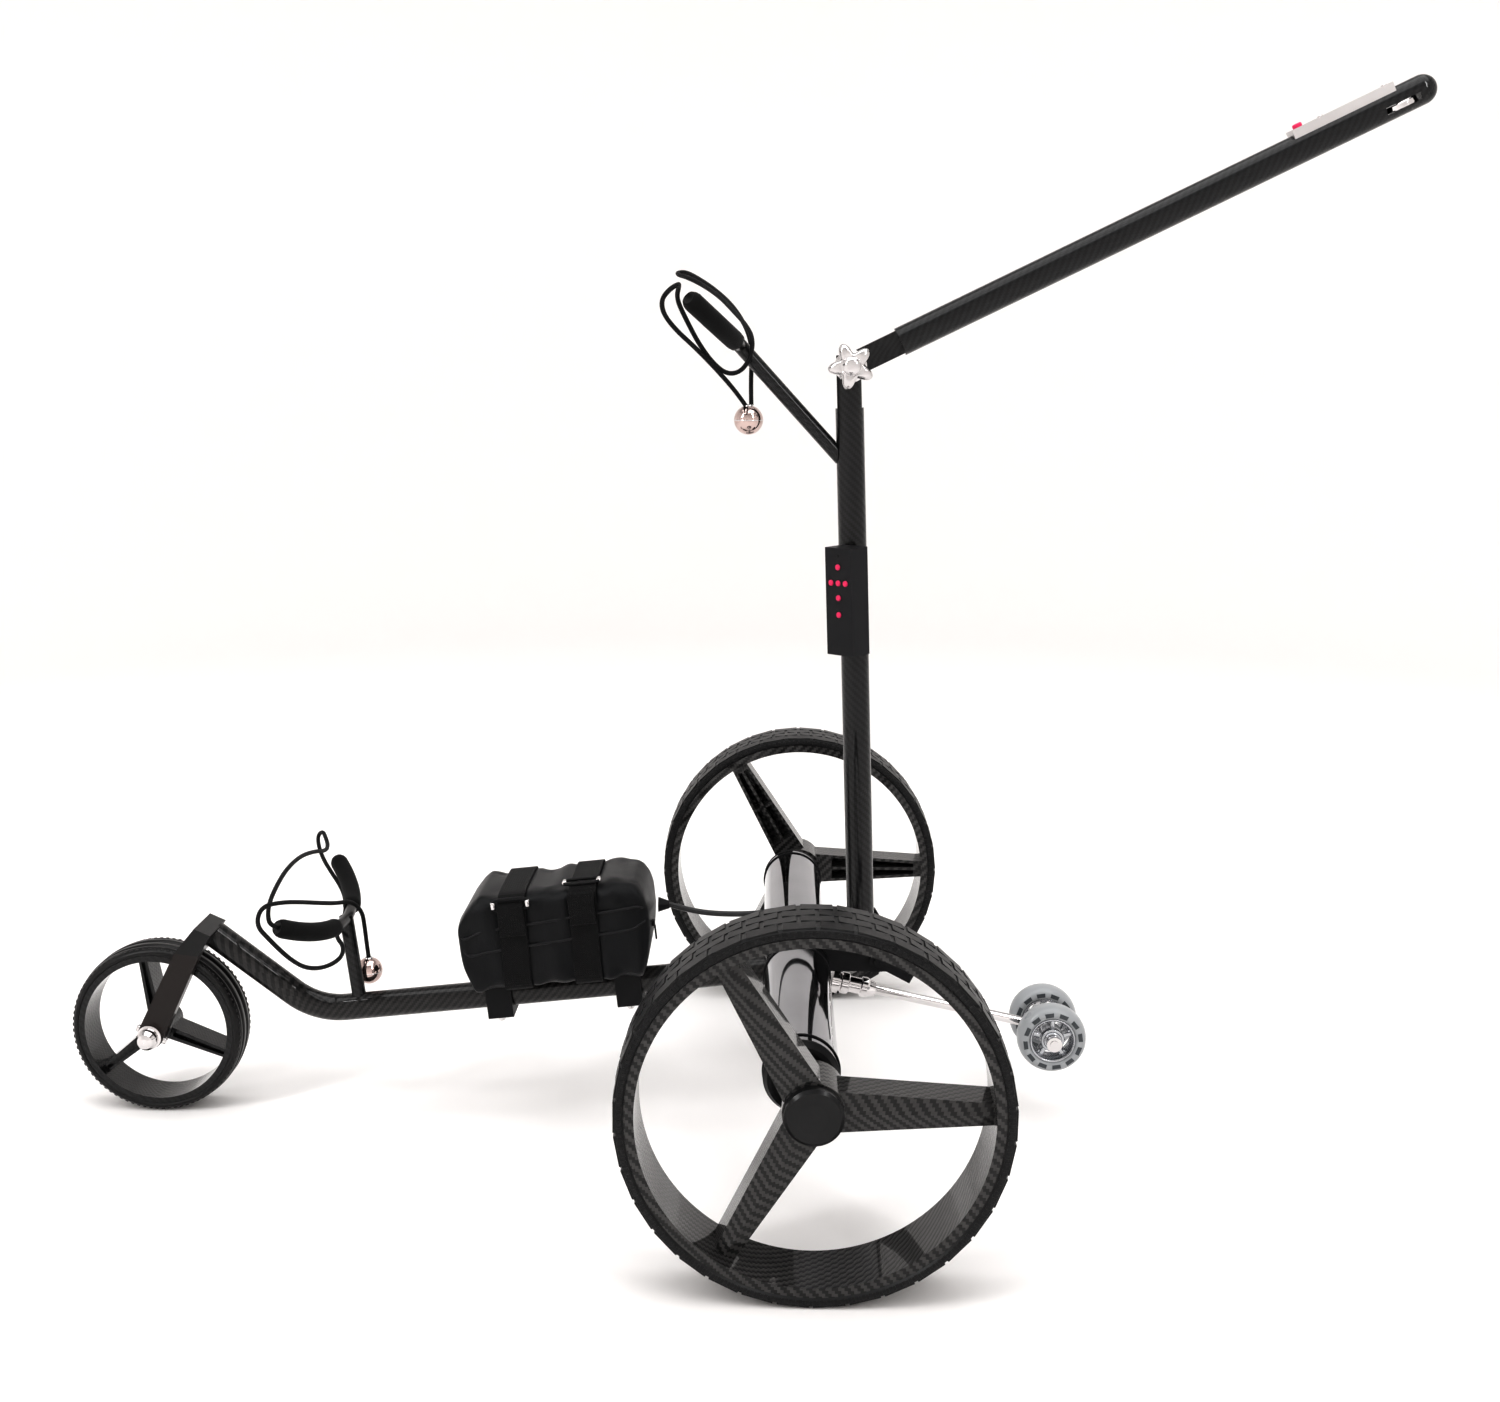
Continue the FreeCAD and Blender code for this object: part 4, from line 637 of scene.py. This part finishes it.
def bagPoint(x, angle, out=0.0):
    low, high, half = bagSection(x)
    power = 2 / bag["square"]
    c, s = math.cos(angle), math.sin(angle)
    y = (half + out) * math.copysign(abs(c) ** power, c)
    z = (low + high) / 2 + ((high - low) / 2 + out) * math.copysign(abs(s) ** power, s)
    return mm(x, y, z)


def bagSlack(x, place):
    # cloth is drawn in under the straps and wrinkles between them
    pull = sum(math.exp(-((x - strapAt[end]) / 15) ** 4) for end in ("front", "rear"))
    crease = 0.28 - abs(noise.noise(place * 24 + Vector((1, 5, 2))))
    wave = noise.noise(place * 34) * 0.9 + 0.5 * noise.noise(place * 80 + Vector((3, 1, 7))) + 1.5 * crease
    drape = 0.5 * math.sin(x * 0.16 + 30 * place.z * 1.7)
    return (1 - pull) * (bag["wrinkle"] * (wave + drape) + 0.4) - 0.9 * pull - 0.6


def makeBag():
    rows = bag["rows"]
    lengths = []
    for before, after in zip(rows, rows[1:]):
        steps = max(2, round((after[0] - before[0]) / 2.5))
        lengths += [before[0] + (after[0] - before[0]) * k / steps for k in range(steps)]
    lengths.append(rows[-1][0])
    points, count = [], bag["around"]
    for scale in (0.02, 0.4, 0.75):
        points += cappedRow(lengths[0], scale, -1)
    for x in lengths:
        for j in range(count):
            angle = 2 * math.pi * (j + 0.5) / count
            rest = bagPoint(x, angle)
            points.append(bagPoint(x, angle, bagSlack(x, rest)))
    for scale in (0.75, 0.4, 0.02):
        points += cappedRow(lengths[-1], scale, 1)
    rings = len(points) // count
    faces = gridFaces(rings, count, False)
    faces += [tuple(range(count)), tuple(range(len(points) - count, len(points)))]
    skin = meshPiece("batteryBag", [batteryFrame @ p for p in points], faces)
    smooth = skin.modifiers.new("soften", "SUBSURF")
    smooth.levels = smooth.render_levels = 1
    keep(skin, "chassis", finishes["nylon"], "nylon", "battery_bag")


def cappedRow(x, scale, end):
    low, high, half = bagSection(x)
    middle = mm(x + end * 1.2 * (1 - scale), 0, (low + high) / 2)
    row = []
    for j in range(bag["around"]):
        rim = bagPoint(x, 2 * math.pi * (j + 0.5) / bag["around"])
        row.append(middle + (rim - mm(x, 0, (low + high) / 2)) * scale)
    return row


def sideAngle(share):
    # the angle on the left side whose height is this share of the half height above the middle
    return math.pi - math.copysign(math.asin(abs(share) ** (bag["square"] / 2)), share)


def makePiping(name, share, reach, out):
    points = []
    for left in (True, False):
        steps = [reach * (k / 13 - 1) for k in range(27)]
        for x in steps if left else reversed(steps):
            angle = sideAngle(share + 0.12 * x / 88)
            point = bagPoint(x, angle if left else math.pi - angle, out)
            points.append(batteryFrame @ point)
    piping = tubeAlong(name, points, 2.4, closed=True)
    keep(piping, "chassis", finishes["piping"], "nylon")


def strapRing(name, x, lean, out):
    count = 72
    points = []
    for j in range(count):
        angle = 2 * math.pi * (j + 0.5) / count
        for across, height in ((-1, 0), (1, 0), (1, strapAt["thick"]), (-1, strapAt["thick"])):
            place = bagPoint(x, angle, out + height)
            slant = lean * (place.z * 1000 - 62) / 46
            points.append(batteryFrame @ (place + mm(across * strapAt["half"] + slant, 0, 0)))
    return meshPiece(name, points, gridFaces(count, 4, True), smooth=False)


def foldedTab(name, x, low, high):
    # the strap's free end, folded over itself below the buckle
    half = strapAt["half"] - 0.6
    side = -bagSection(x)[2] - 1.6
    outline = [(side - 0.2, high + 4), (side - 2.6, high + 2), (side - 3.8, high - 5), (side - 4.2, low + 3),
               (side - 3.9, low), (side - 2.9, low - 0.6), (side - 2.3, low + 1), (side - 2.4, high - 5),
               (side - 1.0, high + 1)]
    points = []
    for across in (-half, half):
        points += [batteryFrame @ mm(x + across, y, z) for y, z in outline]
    count = len(outline)
    faces = gridFaces(2, count, False) + [tuple(range(count)), tuple(range(count, 2 * count))]
    tab = meshPiece(name, points, faces, smooth=False)
    bevel(tab, 0.3, 1)
    return tab


def makeStraps():
    for end, lean, top in (("front", 2.0, 102), ("rear", 2.0, 107)):
        x = strapAt[end]
        ring = strapRing(f"batteryStrap_{end}", x, lean, 0.1)
        bevel(ring, 0.3, 1, 50)
        if end == "front":
            keep(ring, "chassis", finishes["webbing"], "nylon", "battery_straps")
        else:
            keep(ring, "chassis", finishes["webbing"], "nylon")
        tab = foldedTab(f"strapTab_{end}", x + 0.5, top - 30, top - 4)
        keep(tab, "chassis", finishes["webbing"], "nylon")
    makeBuckle("front", batteryFrame @ shift(strapAt["front"] + 1, -51.4, 101))
    makeBuckle("rear", batteryFrame @ shift(strapAt["rear"] + 1, -35, 111.6) @ toRight)


def makeBuckle(end, place):
    # a wire loop that the strap goes through, with a stud at each side; it faces local -Y
    half = strapAt["half"] + 3.2
    loop = [place @ mm(a * half, -0.6 * b, 5.2 * b) for a, b in
            ((-1, -0.6), (-1, 0), (-1, 0.6), (-0.8, 1), (0, 1), (0.8, 1), (1, 0.6), (1, 0), (1, -0.6),
             (0.8, -1), (0, -1), (-0.8, -1))]
    frameBar = tubeAlong(f"buckleLoop_{end}", loop, 3.0, closed=True)
    if end == "front":
        keep(frameBar, "chassis", finishes["blackPlastic"], "black_plastic", "strap_buckles")
    else:
        keep(frameBar, "chassis", finishes["blackPlastic"], "black_plastic")
    for word, hand in (("a", -1), ("b", 1)):
        outline = [(0.01, -3.2), (1.9, -3.2), (2.3, -2.6), (2.3, 2.6), (1.9, 3.2), (0.01, 3.2)]
        stud = spun(f"buckleStud_{end}_{word}", outline, 20, place @ shift(hand * half, -0.2, 0))
        keep(stud, "chassis", finishes["chrome"], "chrome")


def makeZipPull():
    place = batteryFrame @ shift(89.6, -24, 62)
    points, faces = [], []
    addBox(points, faces, place, (-1.6, -3, -2), (1.2, 3, 3))
    addBox(points, faces, place, (0.2, -2, -15), (1.6, 2, -2))
    pull = meshPiece("zipPull", points, faces, smooth=False)
    bevel(pull, 0.4)
    keep(pull, "chassis", finishes["blackPlastic"], "black_plastic")


makeBag()
makePiping("upperPiping", 0.42, 86, 0.1)
makePiping("middlePiping", -0.02, 87, 0.3)
makeStraps()
makeZipPull()
print("battery bag ready")

lowerRest = {"root": (-430.3, 187), "tip": (-464.4, 213.5)}
upperRest = {"root": (-61, 714), "tip": (-101, 750.6)}
padShape = {"span": 105, "length": 88, "bore": 5.05, "thick": 8.45, "rings": 30, "around": 36}


def makePad(name, rest, side, body, finish, node):
    root, tip = rest["root"], rest["tip"]
    sag = math.hypot(tip[0] - root[0], tip[1] - root[1])
    radius = (padShape["span"] ** 2 + sag ** 2) / (2 * sag)
    lean = Vector(((tip[0] - root[0]) / sag, 0, (tip[1] - root[1]) / sag))
    normal = lean.cross(Vector((0, 1, 0)))
    last = math.asin(padShape["span"] / radius)
    first = last - padShape["length"] / radius
    rings = padShape["rings"]
    outer = []
    for k in range(rings + 1):
        share = k / rings
        roundOff = max(0, 1 - 14 * share) ** 2 + max(0, 1 - 14 * (1 - share)) ** 2
        outer.append((share, padShape["thick"] - 2.2 * roundOff))
    inner = [(share, padShape["bore"]) for share in (1, 0.75, 0.5, 0.25, 0)]
    points = []
    for share, thick in outer + inner:
        turn = first + (last - first) * share
        centre = spot(root[0], 0, root[1]) + (lean * (radius * (1 - math.cos(turn)))
                                               + Vector((0, side * radius * math.sin(turn), 0))) / 1000
        outward = lean * math.cos(turn) * -1 + Vector((0, side * math.sin(turn), 0))
        for j in range(padShape["around"]):
            a = 2 * math.pi * j / padShape["around"]
            place = Vector((share * 9, 2 * math.cos(a), 2 * math.sin(a) + side))
            bump = 0.12 * noise.noise(place) if thick > 6 else 0
            points.append(centre + (outward * math.cos(a) + normal * math.sin(a)) * (thick + bump) / 1000)
    pad = meshPiece(name, points, gridFaces(len(outer) + len(inner), padShape["around"], True))
    if node:
        keep(pad, body, finish, "pad_foam", node)
    else:
        keep(pad, body, finish, "pad_foam")


for side, word in ((-1, "left"), (1, "right")):
    for rest, place, body in (("lower", lowerRest, "chassis"), ("upper", upperRest, "mast")):
        stands = f"{rest}_pads" if side < 0 else None
        makePad(f"{rest}Pad_{word}", place, side, body, finishes["foam"], stands)
print("saddle pads ready")

knob = {"core": 15.6, "lobe": 4.3, "lobes": 5, "around": 160, "bore": 4.08, "boreDepth": 9.5, "rings": [
    (0, 0.72, 0.8), (0.4, 0.88, 0.9), (2.4, 0.99, 1), (5, 1.02, 1), (9, 1.02, 1), (11.6, 0.97, 1),
    (13.2, 0.86, 0.9), (13.9, 0.72, 0.6), (14.2, 0.6, 0.2), (13.4, 0.55, 0), (13.6, 0.5, 0), (15.6, 0.44, 0),
    (16.8, 0.28, 0), (17, 0.02, 0)]}


def makeStarKnob():
    place = gripFrame @ shift(0, -20.9, 0) @ toLeft
    points = []
    mouth = (0, knob["bore"] / knob["core"], 0)
    for height, scale, share in [mouth] + knob["rings"]:
        for j in range(knob["around"]):
            a = 2 * math.pi * j / knob["around"]
            swell = math.cos(knob["lobes"] * (a - math.pi / 2))
            r = scale * (knob["core"] + share * knob["lobe"] * swell)
            points.append(place @ mm(r * math.cos(a), r * math.sin(a), height))
    rows = len(points) // knob["around"]
    faces = gridFaces(rows, knob["around"], False)
    start = len(points)
    for height in (0, knob["boreDepth"]):
        for j in range(knob["around"]):
            a = 2 * math.pi * j / knob["around"]
            points.append(place @ mm(knob["bore"] * math.cos(a), knob["bore"] * math.sin(a), height))
    faces += gridFaces(2, knob["around"], False, start)
    faces.append(tuple(range(start + knob["around"], start + 2 * knob["around"])))
    faces.append(tuple(range(start - knob["around"], start)))
    keep(meshPiece("starKnob", points, faces), "star_knob", finishes["castKnob"], "chrome", "star_knob")


makeStarKnob()


def makeBands():
    # seal rings on the motor tube, ferrules on the cord balls, and small screws
    for word, y in (("a", -253), ("b", -44), ("c", 44), ("d", 253)):
        ring = [(30.02, -1.3), (31, -0.9), (31.2, 0), (31, 0.9), (30.02, 1.3), (29.6, 0)]
        seal = spun(f"sealRing_{word}", ring, 96, seat(-8, y, 150, toLeft))
        keep(seal, "chassis", finishes["blackPlastic"], "black_plastic")
    for name, body, centre in (("lowerBall", "chassis", (-416, 21, 128.5)),
                               ("upperBall", "mast", (-53.4, 0, 649.6))):
        place = seat(*centre, Matrix.Identity(4))
        seam = [(12.7, -0.5), (13.0, -0.35), (13.0, 0.35), (12.7, 0.5)]
        keep(spun(name + "Seam", seam, 64, place), body, finishes["chrome"], "chrome")
        ferrule = [(2.3, 11.4), (4.4, 11.6), (4.2, 12.9), (3.4, 13.6), (2.3, 13.6)]
        keep(spun(name + "Ferrule", ferrule, 32, place), body, finishes["chrome"], "chrome")
    for number, along in enumerate((444, 501)):
        place = gripFrame @ shift(along, 0, 16.75)
        head = [(0.01, 0), (2.3, 0), (2.2, 0.6), (1.5, 1.0), (1.2, 1.0), (1.1, 0.5), (0.01, 0.5)]
        keep(spun(f"plateScrew_{number}", head, 24, place), "handle", finishes["chrome"], "chrome")
    lamp = [(0.01, 0.25), (1.1, 0.25), (1.3, 0), (1.3, -0.6), (0.01, -0.6)]
    lens = spun("remoteLamp", lamp, 20, remoteFrame @ shift(0, -11.1, 88) @ toLeft)
    keep(lens, "remote", finishes["blackPlastic"], "black_plastic")


makeBands()
print("knob, bands and screws ready")

# each CAD piece that stays: its finish and the width of its bevel
look = {
    "chassis_tube": ("chassisCarbon", 0), "mast_tube": ("mastCarbon", 0),
    "handle_tube": ("gripCarbon", 0.4), "upper_strut": ("strutCarbon", 0), "lower_post": ("postCarbon", 0),
    "lower_saddle": ("saddleCarbon", 0), "upper_saddle": ("saddleCarbon", 0),
    "fork_crown": ("crownCarbon", 1.6), "fork_leg": ("forkCoat", 1.2),
    "drive_wheel_left": ("wheelCarbonLeft", 0.9), "drive_wheel_right": ("wheelCarbonRight", 0.9),
    "front_wheel": ("frontWheelCarbon", 0.6), "wheel_hub_left": ("capPlastic", 0.5),
    "wheel_hub_right": ("capPlastic", 0.5), "motor_housing": ("motorTube", 0),
    "motor_end_caps": ("blackPlastic", 0.4), "control_plate": ("plate", 0.5),
    "gear_motor_left": ("motorSteel", 0), "gear_motor_right": ("motorSteel", 0),
    "lower_bungee_ball": ("ballChrome", 0), "upper_bungee_ball": ("ballChrome", 0),
    "remote_front_case": ("casePlastic", 1.0), "remote_back_case": ("casePlastic", 1.0),
    "cable_plugs": ("blackPlastic", 0.3), "mast_bracket": ("blackPlastic", 1.0),
    "mast_latch": ("blackPlastic", 0.8), "tube_clamps": ("blackPlastic", 1.2),
    "remote_cradle": ("blackPlastic", 0.5), "battery_pack": ("blackPlastic", 0),
    "control_button": ("keyRubber", 0.3), "clamp_screws": ("chrome", 0.2),
    "anti_tip_socket": ("chrome", 0.4), "anti_tip_rod": ("chrome", 0.3), "front_axle": ("chrome", 0.3),
    "front_axle_nut": ("chrome", 0.3), "mast_hinge_pin": ("chrome", 0.3), "handle_bolt": ("chrome", 0.4),
    "speed_wheel": ("chrome", 0.3),
}
for key in ("forward", "left", "stop", "right", "back", "pause"):
    look[f"remote_button_{key}"] = ("keyRubber", 0.3)

for name, (finish, edge) in look.items():
    node = nodes[name]
    node.data.materials.clear()
    node.data.materials.append(finishes[finish])
    if edge:
        bevel(node, edge)
for name, node in nodes.items():
    if name not in look:
        node.data.materials.clear()
        node.data.materials.append(finishes["blackPlastic"])
print("CAD pieces dressed")
